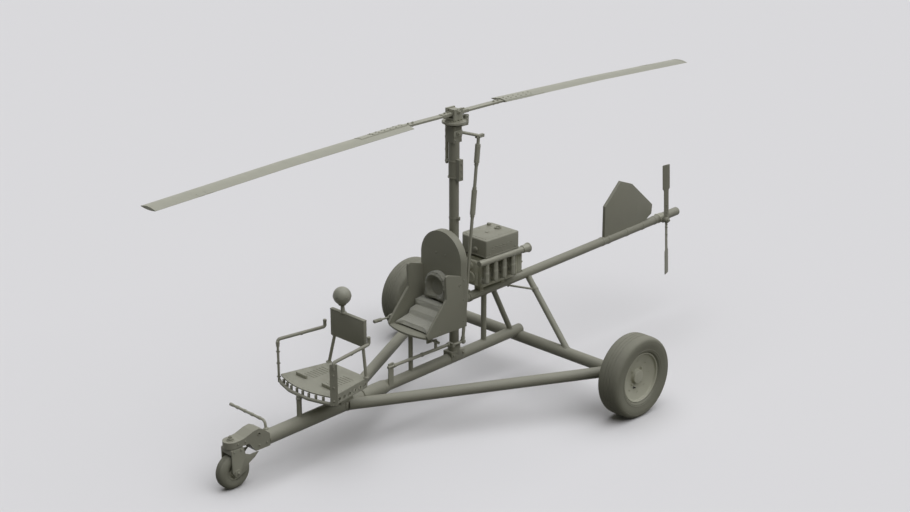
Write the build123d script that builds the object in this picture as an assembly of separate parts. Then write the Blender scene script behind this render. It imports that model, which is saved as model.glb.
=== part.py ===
"""Open-frame light gyrocopter on a tricycle gear, in millimetres.

+X points to the nose, +Y to port, +Z up. The origin is on the ground, straight below the mast's axis.
Each sub-part is one node, written to parts/NODE.step.
"""
import os

from build123d import *

os.makedirs("parts", exist_ok=True)

# ---- driving dimensions ----
ROTOR_RADIUS = 3050
ROTOR_HUB_Z = 2500
ROTOR_YAW = 0.85
BLADE_CHORD = 172
BLADE_TIP_DROOP = 89
TAIL_ROTOR_RADIUS = 550
TAIL_ROTOR_CHORD = 84
TAIL_ROTOR_TILT = 4
TAIL_ROTOR_PITCH = 15

MAIN_WHEEL_X = -797
HALF_TRACK = 1312
MAIN_TYRE_R = 352
MAIN_TYRE_W = 216
NOSE_WHEEL_X = 2386
NOSE_TYRE_R = 142
NOSE_TYRE_W = 100

KEEL_FRONT_R = 60
KEEL_REAR_R = 48
KEEL_NOSE_X = 2110
KEEL_NOSE_Z = 303
KEEL_TAIL_Z = 386
KEEL_STEP_X = 830

AXLE_R = 52
AXLE_Z = 329
AXLE_HALF = 1098
STUB_R = 25
BRACE_R = 47
BRACE_KEEL_X = 1226

MAST_R = 41
MAST_TOP_Z = 2262

BOOM_R = 40
BOOM_NOSE_X = 62
BOOM_NOSE_Z = 853
BOOM_TAIL_X = -3003
BOOM_TAIL_Z = 968

SEAT_HALF_W = 235
SEAT_BACK_X = 85
SEAT_FACE_X = 155
SEAT_FLOOR_Z = 735
SEAT_TOP_Z = 1528

PLATFORM_Z = 611
KINGPIN_X = 2392


# ---- helpers ----
def save(node, shape):
    """Writes one node."""
    shape.label = node
    export_step(shape, f"parts/{node}.step")


def rod(start, end, radius):
    """A solid round bar between two points."""
    a = Vector(*start)
    b = Vector(*end)
    return Solid.make_cylinder(radius, (b - a).length, Plane(origin=a, z_dir=b - a))


def cone(start, end, radius_a, radius_b):
    """A solid cone between two points."""
    a = Vector(*start)
    b = Vector(*end)
    return Solid.make_cone(radius_a, radius_b, (b - a).length, Plane(origin=a, z_dir=b - a))


def block(x, y, z):
    """A box from its lowest and highest x, y and z."""
    size = [high - low for low, high in (x, y, z)]
    centre = [(high + low) / 2 for low, high in (x, y, z)]
    return Pos(*centre) * Box(*size)


def side_plate(outline, y_low, y_high):
    """A plate whose outline is a list of (x, z) points, between two y values."""
    face = make_face(Polyline(*[(x, y_high, z) for x, z in outline], close=True))
    return extrude(face, amount=y_high - y_low, dir=(0, -1, 0))


def plan_plate(outline, z_low, z_high):
    """A plate whose outline is a list of (x, y) points, between two z values."""
    face = make_face(Polyline(*[(x, y, z_low) for x, y in outline], close=True))
    return extrude(face, amount=z_high - z_low, dir=(0, 0, 1))


def bent_tube(points, radius, bends):
    """A round bar along straight runs joined by arcs."""
    path = FilletPolyline(*points, radius=bends)
    section = Plane(origin=path @ 0, z_dir=path % 0) * Circle(radius)
    return sweep(section, path=path)


def spun(profile, centre):
    """A wheel part: a list of (radius, offset along the axle) points turned about a Y axle."""
    x, y, z = centre
    face = make_face(Polyline(*[(x + r, y + w, z) for r, w in profile], close=True))
    return revolve(face, axis=Axis((x, y, z), (0, 1, 0)))


def mirrored_rows(rows):
    """A half profile of (radius, offset) rows followed by its mirror image."""
    return rows + [(r, -w) for r, w in reversed(rows)]


def mirrored(shape):
    """The same shape on the other side of the keel."""
    return mirror(shape, about=Plane.XZ)


def keel_z(x):
    """Height of the keel's centre line."""
    share = (KEEL_NOSE_X - x) / (KEEL_NOSE_X - MAIN_WHEEL_X)
    return KEEL_NOSE_Z + share * (KEEL_TAIL_Z - KEEL_NOSE_Z)


def boom_z(x):
    """Height of the tail boom's centre line."""
    share = (BOOM_NOSE_X - x) / (BOOM_NOSE_X - BOOM_TAIL_X)
    return BOOM_NOSE_Z + share * (BOOM_TAIL_Z - BOOM_NOSE_Z)


def on_keel(x):
    return (x, 0, keel_z(x))


def on_boom(x):
    return (x, 0, boom_z(x))


# ---- keel, cross axle and drag braces ----
KEEL_END_X = MAIN_WHEEL_X - 20
STEP_LENGTH = 60
HEAD_REAR_X = 2075

cross_axle = rod((MAIN_WHEEL_X, -AXLE_HALF, AXLE_Z), (MAIN_WHEEL_X, AXLE_HALF, AXLE_Z), AXLE_R)
keel_front = rod(on_keel(HEAD_REAR_X), on_keel(KEEL_STEP_X), KEEL_FRONT_R)
keel_step = cone(on_keel(KEEL_STEP_X), on_keel(KEEL_STEP_X - STEP_LENGTH), KEEL_FRONT_R, KEEL_REAR_R)
keel_rear = rod(on_keel(KEEL_STEP_X - STEP_LENGTH), on_keel(KEEL_END_X), KEEL_REAR_R)
keel = keel_front + keel_step + keel_rear - cross_axle
save("cross_axle", cross_axle)

brace_front = (BRACE_KEEL_X, 34, keel_z(BRACE_KEEL_X))
brace_rear = (MAIN_WHEEL_X + 20, AXLE_HALF - 5, AXLE_Z)
beyond_axle = block((-900, -600), (AXLE_HALF, AXLE_HALF + 100), (200, 460))
brace_port = rod(brace_front, brace_rear, BRACE_R) - keel_front - cross_axle - beyond_axle
save("drag_braces", Compound([brace_port.solid(), mirrored(brace_port).solid()]))

# the collar behind the joint of keel and braces
COLLAR_X = (1040, 1070)
collar = rod(on_keel(COLLAR_X[0]), on_keel(COLLAR_X[1]), KEEL_FRONT_R + 6)
keel = keel + collar - brace_port - mirrored(brace_port)
save("keel_tube", keel)

# hub carriers: an upright plate at each end of the axle, the stub the wheel turns on, and a tie-down lug
CARRIER_Y = (AXLE_HALF, AXLE_HALF + 22)
STUB_END_Y = HALF_TRACK + 50
HUB_BORE_CLEARANCE = 0.05
LUG_X = (MAIN_WHEEL_X - 14, MAIN_WHEEL_X + 14)
LUG_Y = (AXLE_HALF - 44, AXLE_HALF)
LUG_Z = (350, 448)
TIE_DOWN_R = 8
TIE_DOWN_Z = 424
CARRIER_OUTLINE = [(-880, 262), (-880, 420), (-845, 448), (-742, 448), (-700, 420), (-690, 262), (-742, 236),
                   (-845, 236)]
carrier_plate = side_plate(CARRIER_OUTLINE, *CARRIER_Y)
stub = rod((MAIN_WHEEL_X, CARRIER_Y[1], MAIN_TYRE_R), (MAIN_WHEEL_X, STUB_END_Y, MAIN_TYRE_R), STUB_R)
lug_y = sum(LUG_Y) / 2
tie_down = rod((LUG_X[0] - 1, lug_y, TIE_DOWN_Z), (LUG_X[1] + 1, lug_y, TIE_DOWN_Z), TIE_DOWN_R)
lug = block(LUG_X, LUG_Y, LUG_Z) - cross_axle - tie_down
carrier = carrier_plate + stub + lug
save("hub_carriers", Compound([carrier.solid(), mirrored(carrier).solid()]))

# ---- nose: steering head, fork and wheel ----
HEAD_HALF_W = 62
HEAD_TOP_Z = 400
HEAD_LOW_Z = 346
HEAD_REAR_LOW_Z = 262
TOW_X = 2166
TOW_Z = 396
TOW_R = 10
PIN_R = 14
PIN_CLEARANCE = 0.06
HEAD_OUTLINE = [(2060, HEAD_REAR_LOW_Z), (2060, 366), (2118, 416), (2166, 440), (2216, 434), (2300, 406),
                (2340, HEAD_TOP_Z), (2456, HEAD_TOP_Z), (2456, HEAD_LOW_Z), (2262, HEAD_LOW_Z),
                (2200, HEAD_REAR_LOW_Z)]
head = side_plate(HEAD_OUTLINE, -HEAD_HALF_W, HEAD_HALF_W)
behind_pin = block((2000, KINGPIN_X), (-100, 100), (200, 500))
head = head & (behind_pin + rod((KINGPIN_X, 0, 200), (KINGPIN_X, 0, 500), HEAD_HALF_W))
head = head - rod((KINGPIN_X, 0, 200), (KINGPIN_X, 0, 600), PIN_R + PIN_CLEARANCE) - keel_front
head = head - rod((TOW_X, -HEAD_HALF_W - 1, TOW_Z), (TOW_X, HEAD_HALF_W + 1, TOW_Z), TOW_R)
save("steering_head", head)

FORK_IN = NOSE_TYRE_W / 2 + 7
FORK_OUT = FORK_IN + 9
CROWN_X = (2322, 2434)
CROWN_Z = (298, 340)
AXLE_BOSS_R = 30
NOSE_AXLE_R = 9
LEG_OUTLINE = [(CROWN_X[1], CROWN_Z[1]), (CROWN_X[1], 160), (2410, 112), (2362, 112), (2296, 138),
               (2276, 188), (2214, 222), (2178, 255), (2262, 255), (2304, 275), (CROWN_X[0], CROWN_Z[1])]
leg = side_plate(LEG_OUTLINE, FORK_IN, FORK_OUT)
boss = rod((NOSE_WHEEL_X, FORK_IN - 4, NOSE_TYRE_R), (NOSE_WHEEL_X, FORK_OUT + 8, NOSE_TYRE_R), AXLE_BOSS_R)
crown = block(CROWN_X, (-FORK_IN, FORK_IN), CROWN_Z)
washer = rod((KINGPIN_X, 0, CROWN_Z[1]), (KINGPIN_X, 0, HEAD_LOW_Z - 0.3), 30)
kingpin = rod((KINGPIN_X, 0, CROWN_Z[1]), (KINGPIN_X, 0, HEAD_TOP_Z + 14), PIN_R)
cap_nut = rod((KINGPIN_X, 0, HEAD_TOP_Z + 0.3), (KINGPIN_X, 0, HEAD_TOP_Z + 14), 24)
axle_pin = rod((NOSE_WHEEL_X, -FORK_OUT, NOSE_TYRE_R), (NOSE_WHEEL_X, FORK_OUT, NOSE_TYRE_R), NOSE_AXLE_R)
fork = leg + mirrored(leg) + crown + boss + mirrored(boss) + washer + kingpin + cap_nut + axle_pin
save("nose_fork", fork)

NOSE_RIM_R = 62
nose_centre = (NOSE_WHEEL_X, 0, NOSE_TYRE_R)
HALF_NOSE_W = NOSE_TYRE_W / 2
NOSE_BORE_R = NOSE_AXLE_R + HUB_BORE_CLEARANCE
# columns: radius, offset along the axle
NOSE_TYRE_HALF = [(NOSE_RIM_R, 34), (NOSE_RIM_R + 18, HALF_NOSE_W), (112, HALF_NOSE_W), (133, 38),
                  (NOSE_TYRE_R, 22)]
NOSE_RIM_HALF = [(NOSE_BORE_R, 46), (24, 46), (26, 14), (50, 10), (54, 34), (NOSE_RIM_R, 34)]
save("nose_tyre", spun(mirrored_rows(NOSE_TYRE_HALF), nose_centre))
save("nose_rim", spun(mirrored_rows(NOSE_RIM_HALF), nose_centre))

# ---- main wheels ----
RIM_R = 216
HALF_W = MAIN_TYRE_W / 2
# columns: radius, offset along the axle
TYRE_HALF = [(RIM_R, 80), (RIM_R + 12, 96), (300, HALF_W), (334, 103), (349, 80), (MAIN_TYRE_R, 45)]
HUB_BORE_R = STUB_R + HUB_BORE_CLEARANCE
# columns: radius, offset along the axle, outboard positive; a dished face around a sunk hub
RIM_PROFILE = [
    (HUB_BORE_R, -68), (44, -68), (48, 2), (120, 16), (190, 36), (202, -80), (RIM_R, -80),
    (RIM_R, 80), (204, 80), (198, 60), (130, 38), (66, 26), (60, 54), (HUB_BORE_R, 54),
]
for side, sign in (("port", 1), ("starboard", -1)):
    centre = (MAIN_WHEEL_X, sign * HALF_TRACK, MAIN_TYRE_R)
    save(f"tyre_{side}", spun(mirrored_rows(TYRE_HALF), centre))
    save(f"rim_{side}", spun([(r, sign * w) for r, w in RIM_PROFILE], centre))

# ---- mast, tail boom and the struts between them ----
CLAMP_HALF_W = 55
CLAMP_X = (-72, 52)
CLAMP_Z = (796, 912)
SADDLE_TOP_Z = 408
FOOT_TOP_Z = 482
SLEEVE_LOW_Z = 1958
BRACKET_Z = (1030, 1330)

mast = rod((0, 0, SADDLE_TOP_Z), (0, 0, MAST_TOP_Z), MAST_R) - keel_rear
boom = rod(on_boom(CLAMP_X[0] + 22), on_boom(BOOM_TAIL_X), BOOM_R)
SADDLE_HALF = (78, 50)
saddle_z = (keel_z(0) - 12, SADDLE_TOP_Z + 24)
saddle = block((-SADDLE_HALF[0], SADDLE_HALF[0]), (-SADDLE_HALF[1], SADDLE_HALF[1]), saddle_z)
foot_ring = rod((0, 0, SADDLE_TOP_Z), (0, 0, FOOT_TOP_Z), MAST_R + 12)
mast_foot = saddle + foot_ring - mast - keel_rear
boom_clamp = block(CLAMP_X, (-CLAMP_HALF_W, CLAMP_HALF_W), CLAMP_Z) - mast - boom
SLEEVE_BOX_Z = (1944, 2122)
sleeve = rod((0, 0, SLEEVE_LOW_Z), (0, 0, MAST_TOP_Z), MAST_R + 5)
sleeve = sleeve + block((-22, 22), (20, 84), SLEEVE_BOX_Z)
save("mast", mast + sleeve)
save("tail_boom", boom)

POST_R = 24
POST_X = -360
LEAN_TOP_X = -462
LEAN_LOW_X = -712
BOOM_BRACE_R = 27
BOOM_BRACE_TOP_X = -904
BOOM_BRACE_Y = 607
TIE_R = 9
post = rod(on_keel(POST_X), on_boom(POST_X), POST_R)
lean = rod(on_keel(LEAN_LOW_X), on_boom(LEAN_TOP_X), POST_R)
struts = [s - keel_rear - boom for s in (post, lean)]
save("engine_posts", Compound([s.solid() for s in struts]))

# one brace, on the port side, from the boom's underside to the cross axle, with a thin tie to the boom
brace_low = (MAIN_WHEEL_X, BOOM_BRACE_Y, AXLE_Z)
brace_top = (BOOM_BRACE_TOP_X, 14, boom_z(BOOM_BRACE_TOP_X) - BOOM_R + 8)
TIE_TOP_X = -640
TIE_SHARE = 0.17
tie_top = (TIE_TOP_X, 10, boom_z(TIE_TOP_X) - BOOM_R + 6)
tie_end = tuple(top + TIE_SHARE * (low - top) for top, low in zip(brace_top, brace_low))
boom_brace = rod(brace_low, brace_top, BOOM_BRACE_R) + rod(tie_top, tie_end, TIE_R) - boom - cross_axle
save("boom_braces", boom_brace.solids().sort_by(SortBy.VOLUME)[-1])

# ---- engine ----
BLOCK_X = (-620, -222)
BLOCK_HALF_W = 105
BLOCK_Z = (952, 1216)
GEARCASE_X = -196
COWL_X = (-618, -218)
COWL_HALF_W = 162
COWL_Z = (1234, 1386)
PIPE_R = 22
PIPE_Y = 150
PIPE_LOW_Z = 1020
MANIFOLD_Z = 1203
MANIFOLD_R = 28
PIPE_X = [-236, -342, -448, -554]
FOOT_X = (-300, -560)
FOOT_HALF = 22
FOOT_HALF_W = 34
FOOT_LOW_Z = 884
FILLER_X = -529
FILLER_R = 30
KNOB = (-540, -118)

crankcase = block(BLOCK_X, (-BLOCK_HALF_W, BLOCK_HALF_W), BLOCK_Z)
gearcase = block((BLOCK_X[1], GEARCASE_X), (-72, 72), (968, 1190))
crankcase = fillet(crankcase.edges().filter_by(Axis.X), 14) + gearcase
engine_block = crankcase + block((-560, -280), (-70, 70), (BLOCK_Z[1], COWL_Z[0]))
for x in FOOT_X:
    foot = block((x - FOOT_HALF, x + FOOT_HALF), (-FOOT_HALF_W, FOOT_HALF_W), (FOOT_LOW_Z, BLOCK_Z[0]))
    engine_block = engine_block + (foot - boom)
save("engine_block", engine_block)

cowl = block(COWL_X, (-COWL_HALF_W, COWL_HALF_W), COWL_Z)
cowl = fillet(cowl.edges().filter_by(Axis.Z), 14)
cowl = fillet(cowl.faces().sort_by(Axis.Z)[-1].edges(), 8)
filler = rod((FILLER_X, 0, COWL_Z[1] - 2), (FILLER_X, 0, COWL_Z[1] + 14), FILLER_R)
filler = filler - rod((FILLER_X, 0, COWL_Z[1] + 4), (FILLER_X, 0, COWL_Z[1] + 20), FILLER_R - 9)
knob = rod((*KNOB, COWL_Z[1] - 2), (*KNOB, COWL_Z[1] + 22), 18)
save("engine_cowl", cowl + filler + knob)

MANIFOLD_Y = PIPE_Y + 6
OUTLET_X = (-668, -738)
OUTLET_R = 40
manifold_front = (-150, MANIFOLD_Y, MANIFOLD_Z)
outlet_ends = [(x, MANIFOLD_Y, MANIFOLD_Z) for x in OUTLET_X]
manifold = rod(manifold_front, outlet_ends[0], MANIFOLD_R)
outlet = cone(*outlet_ends, OUTLET_R - 8, OUTLET_R)
exhaust = manifold + outlet
for x in PIPE_X:
    exhaust = exhaust + rod((x, PIPE_Y, PIPE_LOW_Z), (x, PIPE_Y, MANIFOLD_Z), PIPE_R)
    exhaust = exhaust + Pos(x, PIPE_Y, PIPE_LOW_Z) * Sphere(PIPE_R)
    exhaust = exhaust + rod((x, PIPE_Y, PIPE_LOW_Z), (x, BLOCK_HALF_W, PIPE_LOW_Z), PIPE_R)
exhaust = exhaust - cowl
save("exhausts", Compound([exhaust.solid(), mirrored(exhaust).solid()]))

HOUSING_X = (-724, BLOCK_X[0])
HOUSING_HALF_W = 118
HOUSING_Z = (960, 1168)
rear_housing = block(HOUSING_X, (-HOUSING_HALF_W, HOUSING_HALF_W), HOUSING_Z)
rear_housing = fillet(rear_housing.edges().filter_by(Axis.X), 24)
save("rear_housing", rear_housing)

# ---- seat ----
WALL_T = 22
ARCH_Z = SEAT_TOP_Z - SEAT_HALF_W
PAN_TOP_Z = 752
PAN_FRONT_X = 530
PAN_NOSE_X = 578
back_face = make_face([
    Polyline((SEAT_BACK_X, -SEAT_HALF_W, ARCH_Z), (SEAT_BACK_X, -SEAT_HALF_W, SEAT_FLOOR_Z),
             (SEAT_BACK_X, SEAT_HALF_W, SEAT_FLOOR_Z), (SEAT_BACK_X, SEAT_HALF_W, ARCH_Z)),
    ThreePointArc((SEAT_BACK_X, SEAT_HALF_W, ARCH_Z), (SEAT_BACK_X, 0, SEAT_TOP_Z),
                  (SEAT_BACK_X, -SEAT_HALF_W, ARCH_Z)),
])
seat_back = extrude(back_face, amount=SEAT_FACE_X - SEAT_BACK_X, dir=(1, 0, 0))
pan_face = make_face([
    Polyline((PAN_FRONT_X, SEAT_HALF_W, SEAT_FLOOR_Z), (SEAT_BACK_X, SEAT_HALF_W, SEAT_FLOOR_Z),
             (SEAT_BACK_X, -SEAT_HALF_W, SEAT_FLOOR_Z), (PAN_FRONT_X, -SEAT_HALF_W, SEAT_FLOOR_Z)),
    ThreePointArc((PAN_FRONT_X, -SEAT_HALF_W, SEAT_FLOOR_Z), (PAN_NOSE_X, 0, SEAT_FLOOR_Z),
                  (PAN_FRONT_X, SEAT_HALF_W, SEAT_FLOOR_Z)),
])
seat_pan = extrude(pan_face, amount=PAN_TOP_Z - SEAT_FLOOR_Z, dir=(0, 0, 1))
WALL_OUTLINE = [(SEAT_BACK_X, SEAT_FLOOR_Z), (SEAT_BACK_X, 1168), (SEAT_FACE_X, 1192), (300, 1236),
                (322, 1226), (326, 1190), (318, 1030), (396, 944), (474, 856), (545, 768),
                (PAN_FRONT_X, SEAT_FLOOR_Z)]
seat_wall = side_plate(WALL_OUTLINE, SEAT_HALF_W - WALL_T, SEAT_HALF_W)
seat_shell = seat_back + seat_pan + seat_wall + mirrored(seat_wall)
save("seat_shell", seat_shell)

SOFT_GAP = 0.3
SOFT_X = SEAT_FACE_X + SOFT_GAP
CUSHION_HALF_W = SEAT_HALF_W - WALL_T - 4
CUSHION_TOP_Z = 930
cushion_low_z = PAN_TOP_Z + SOFT_GAP
CUSHION_OUTLINE = [(SOFT_X, cushion_low_z), (SOFT_X, CUSHION_TOP_Z), (262, 918), (268, 866), (330, 836),
                   (352, 792), (500, 772), (508, cushion_low_z)]
seat_cushion = side_plate(CUSHION_OUTLINE, -CUSHION_HALF_W, CUSHION_HALF_W)
save("seat_cushion", seat_cushion)
LUMBAR_HALF_W = 142
LUMBAR_Z = (CUSHION_TOP_Z + SOFT_GAP, 1060, 1202)
LUMBAR_T = 78
lumbar_face = make_face([
    Polyline((SOFT_X, LUMBAR_HALF_W, LUMBAR_Z[1]), (SOFT_X, LUMBAR_HALF_W, LUMBAR_Z[0]),
             (SOFT_X, -LUMBAR_HALF_W, LUMBAR_Z[0]), (SOFT_X, -LUMBAR_HALF_W, LUMBAR_Z[1])),
    ThreePointArc((SOFT_X, -LUMBAR_HALF_W, LUMBAR_Z[1]), (SOFT_X, 0, LUMBAR_Z[2]),
                  (SOFT_X, LUMBAR_HALF_W, LUMBAR_Z[1])),
])
lumbar_pad = extrude(lumbar_face, amount=LUMBAR_T, dir=(1, 0, 0))
save("lumbar_pad", lumbar_pad)

SEAT_POST_X = 508
SEAT_POST_R = 19
seat_post = rod(on_keel(SEAT_POST_X), (SEAT_POST_X, 0, SEAT_FLOOR_Z), SEAT_POST_R) - keel_rear
save("seat_post", seat_post)
mast_brackets = [mast_foot.solid(), boom_clamp.solid()]
for z in BRACKET_Z:
    ring = rod((0, 0, z - 16), (0, 0, z + 16), MAST_R + 9)
    ring = ring + block((30, SEAT_BACK_X), (-34, 34), (z - 16, z + 16))
    mast_brackets.append((ring - mast).solid())
save("mast_brackets", Compound(mast_brackets))

# the hand lever on the starboard wall of the seat
LEVER_Y = -262
quadrant = block((430, 510), (-280, -SEAT_HALF_W), (752, 822))
lever = rod((500, LEVER_Y, 792), (600, LEVER_Y, 796), 10) + rod((590, LEVER_Y, 796), (676, LEVER_Y, 800), 16)
save("hand_lever", quadrant + lever)

# ---- control run ----
TUBE_Y = 45
TUBE_Z = 520
TUBE_X = (96, 800)
ROD_Y = 78
ROD_TOP = (-205, ROD_Y, 2268)
ROD_LOW = (-26, ROD_Y, TUBE_Z)
tube = rod((TUBE_X[0], TUBE_Y, TUBE_Z), (TUBE_X[1], TUBE_Y, TUBE_Z), 14)
tube_bracket = block((748, 800), (TUBE_Y - 6, TUBE_Y + 6), (340, 552)) - keel
crank = block((84, 108), (TUBE_Y - 16, ROD_Y + 16), (TUBE_Z - 16, TUBE_Z + 16))
link = rod((84, ROD_Y, TUBE_Z), (-26, ROD_Y, TUBE_Z), 10)
mixer_shaft = rod((262, -40, 590), (262, 84, 590), 12)
mixer_arm = block((252, 272), (TUBE_Y - 8, TUBE_Y + 8), (TUBE_Z, 612))
mixer_link = block((236, 288), (-42, -26), (556, 640))
control_tube = tube + tube_bracket + crank + link + mixer_shaft + mixer_arm + mixer_link
save("control_tube", control_tube)


def along_rod(share):
    """A point on the control rod, 0 at its foot and 1 at its top."""
    return tuple(low + share * (top - low) for low, top in zip(ROD_LOW, ROD_TOP))


CONTROL_ROD_R = 14
SLEEVE_R = 23
control_rod = rod(ROD_LOW, ROD_TOP, CONTROL_ROD_R)
control_rod = control_rod + rod(along_rod(0.63), along_rod(0.75), SLEEVE_R)
control_rod = control_rod + rod(along_rod(0.88), along_rod(0.97), SLEEVE_R)
eye = rod((ROD_LOW[0], ROD_Y - 18, ROD_LOW[2]), (ROD_LOW[0], ROD_Y + 18, ROD_LOW[2]), 18)
control_rod = control_rod + eye - link
save("control_rod", control_rod)

# ---- foot tray, hoops, panel ----
TRAY_T = 11
TRAY_FRONT_X = 1632
TRAY_NOSE_X = 1700
TRAY_FRONT_Y = 313
TRAY_REAR_X = 1192
TRAY_REAR_Y = 224
SKIRT_LOW_Z = 528
tray_z = PLATFORM_Z - TRAY_T
tray_face = make_face([
    Polyline((TRAY_FRONT_X, TRAY_FRONT_Y, tray_z), (TRAY_REAR_X, TRAY_REAR_Y, tray_z),
             (TRAY_REAR_X, -TRAY_REAR_Y, tray_z), (TRAY_FRONT_X, -TRAY_FRONT_Y, tray_z)),
    ThreePointArc((TRAY_FRONT_X, -TRAY_FRONT_Y, tray_z), (TRAY_NOSE_X, 0, tray_z),
                  (TRAY_FRONT_X, TRAY_FRONT_Y, tray_z)),
])
tray = extrude(tray_face, amount=TRAY_T, dir=(0, 0, 1))
skirt_outline = [(TRAY_FRONT_X - 60, 300), (TRAY_REAR_X, TRAY_REAR_Y), (TRAY_REAR_X, TRAY_REAR_Y - 8),
                 (TRAY_FRONT_X - 60, 292)]
skirt = plan_plate(skirt_outline, SKIRT_LOW_Z, tray_z)
SKIRT_HOLE_X = [1230, 1295, 1360, 1425, 1490, 1550]
for x in SKIRT_HOLE_X:
    skirt = skirt - rod((x, 150, 562), (x, 350, 562), 15)
foot_tray = tray + skirt + mirrored(skirt)
TRAY_RIB_Y = (-52, 46)
TRAY_RIB_T = 6
for y in TRAY_RIB_Y:
    rib = block((1196, 1330), (y, y + TRAY_RIB_T), (keel_z(1200) - 20, tray_z))
    foot_tray = foot_tray + (rib - keel_front)
save("foot_tray", foot_tray - brace_port - mirrored(brace_port))

HOOP_R = 14
RAIL_Z = 904
RAIL_REAR = (1204, 262)
HOOP_X = 1636
HOOP_Y = 333
RING_Z = 556
POST_FLAT = (60, 14)
rail = bent_tube([(*RAIL_REAR, RAIL_Z + 62), (*RAIL_REAR, RAIL_Z + 6), (HOOP_X, HOOP_Y, RAIL_Z),
                  (HOOP_X, HOOP_Y, RAIL_Z - 60)], HOOP_R, [20, 25])
flat = Pos(0, 0, (RING_Z + RAIL_Z) / 2 - 10) * Box(POST_FLAT[1], POST_FLAT[0], RAIL_Z - RING_Z - 4)
flat_post = Pos(HOOP_X, HOOP_Y, 0) * (flat.rotate(Axis.Z, 45))
ring_half = [(HOOP_X, HOOP_Y - 4, RING_Z), (1668, 262, RING_Z), (1712, 110, RING_Z)]
ring_path = ring_half + [(x, -y, z) for x, y, z in reversed(ring_half)]
ring_tube = bent_tube(ring_path, HOOP_R, [40, 160, 160, 40])
hoops = ring_tube + rail + mirrored(rail) + flat_post + mirrored(flat_post)
TRAY_POST_X = 1712
TRAY_POST_R = 21
tray_post = rod(on_keel(TRAY_POST_X), (TRAY_POST_X, 0, RING_Z), TRAY_POST_R) - keel_front
save("hoop_frame", hoops + tray_post)

PANEL_X = (1166, 1200)
PANEL_HALF_W = 200
PANEL_Z = (856, 1086)
panel = block(PANEL_X, (-PANEL_HALF_W, PANEL_HALF_W), PANEL_Z)
save("instrument_panel", panel)
legs = []
for sign in (-1, 1):
    leg_low = (1204, sign * 224, PLATFORM_Z - 6)
    leg_top = (1183, sign * 168, PANEL_Z[0] + 6)
    leg_bar = rod(leg_low, leg_top, 13) - block((1100, 1300), (-300, 300), (500, PLATFORM_Z)) - panel
    legs.append(leg_bar.solid())
save("panel_legs", Compound(legs))

BALL_CENTRE = (1200, -48, 1232)
compass = Pos(*BALL_CENTRE) * Sphere(74) + rod((1184, -48, PANEL_Z[1]), BALL_CENTRE, 14)
save("compass", compass - panel)

PROBE_X = 2030
PROBE_Z = 431
PROBE_END_Y = -462
PROBE_R = 11
probe_path = [(PROBE_X, -12, keel_z(PROBE_X)), (PROBE_X, -36, PROBE_Z), (PROBE_X, PROBE_END_Y, PROBE_Z)]
probe = bent_tube(probe_path, PROBE_R, 34)
save("air_probe", (probe - keel_front).solids().sort_by(SortBy.VOLUME)[-1])

# ---- fin and tail rotor ----
FIN_HALF_T = 15
FIN_OUTLINE = [(-1930, 915), (-1930, 1258), (-2143, 1456), (-2304, 1396), (-2613, 1128), (-2603, 1040),
               (-2450, 960)]
fin = side_plate(FIN_OUTLINE, -FIN_HALF_T, FIN_HALF_T)
save("fin", (fin - boom).solids().sort_by(SortBy.VOLUME)[-1])

TAIL_X = -2747
TAIL_Z = 960
TAIL_Y = 84
GEARBOX_R = 32
GEARBOX_END_Y = 58
TAIL_SHAFT_R = 11
gearbox = rod((TAIL_X, 0, TAIL_Z), (TAIL_X, GEARBOX_END_Y, TAIL_Z), GEARBOX_R)
gearbox = gearbox + rod((TAIL_X, GEARBOX_END_Y, TAIL_Z), (TAIL_X, 108, TAIL_Z), TAIL_SHAFT_R)
save("tail_gearbox", (gearbox - boom).solids().sort_by(SortBy.VOLUME)[-1])

TAIL_HUB_R = 30
TAIL_ROOT_W = 56
TAIL_ROOT_L = 312
TAIL_BLADE_T = 10
tail_shaft_space = rod((TAIL_X, 40, TAIL_Z), (TAIL_X, 120, TAIL_Z), TAIL_SHAFT_R + HUB_BORE_CLEARANCE)
tail_axle = Axis((TAIL_X, TAIL_Y, TAIL_Z), (0, 1, 0))
blade_line = Axis((TAIL_X, TAIL_Y, TAIL_Z), (0, 0, 1))
blade_y = (TAIL_Y - TAIL_BLADE_T / 2, TAIL_Y + TAIL_BLADE_T / 2)
half_chord = TAIL_ROTOR_CHORD / 2
root = block((TAIL_X - TAIL_ROOT_W / 2, TAIL_X + TAIL_ROOT_W / 2), blade_y, (TAIL_Z, TAIL_Z + TAIL_ROOT_L))
outer = block((TAIL_X - half_chord, TAIL_X + half_chord), blade_y,
              (TAIL_Z + TAIL_ROOT_L - 10, TAIL_Z + TAIL_ROTOR_RADIUS))
outer = fillet(outer.edges().filter_by(Axis.Z), TAIL_BLADE_T * 0.45)
pitched = (root + outer).rotate(blade_line, -TAIL_ROTOR_PITCH)
tail_rotor = rod((TAIL_X, 62, TAIL_Z), (TAIL_X, 104, TAIL_Z), TAIL_HUB_R)
for turn in (0, 180):
    tail_rotor = tail_rotor + pitched.rotate(tail_axle, turn + TAIL_ROTOR_TILT)
save("tail_rotor", tail_rotor - tail_shaft_space)

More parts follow.
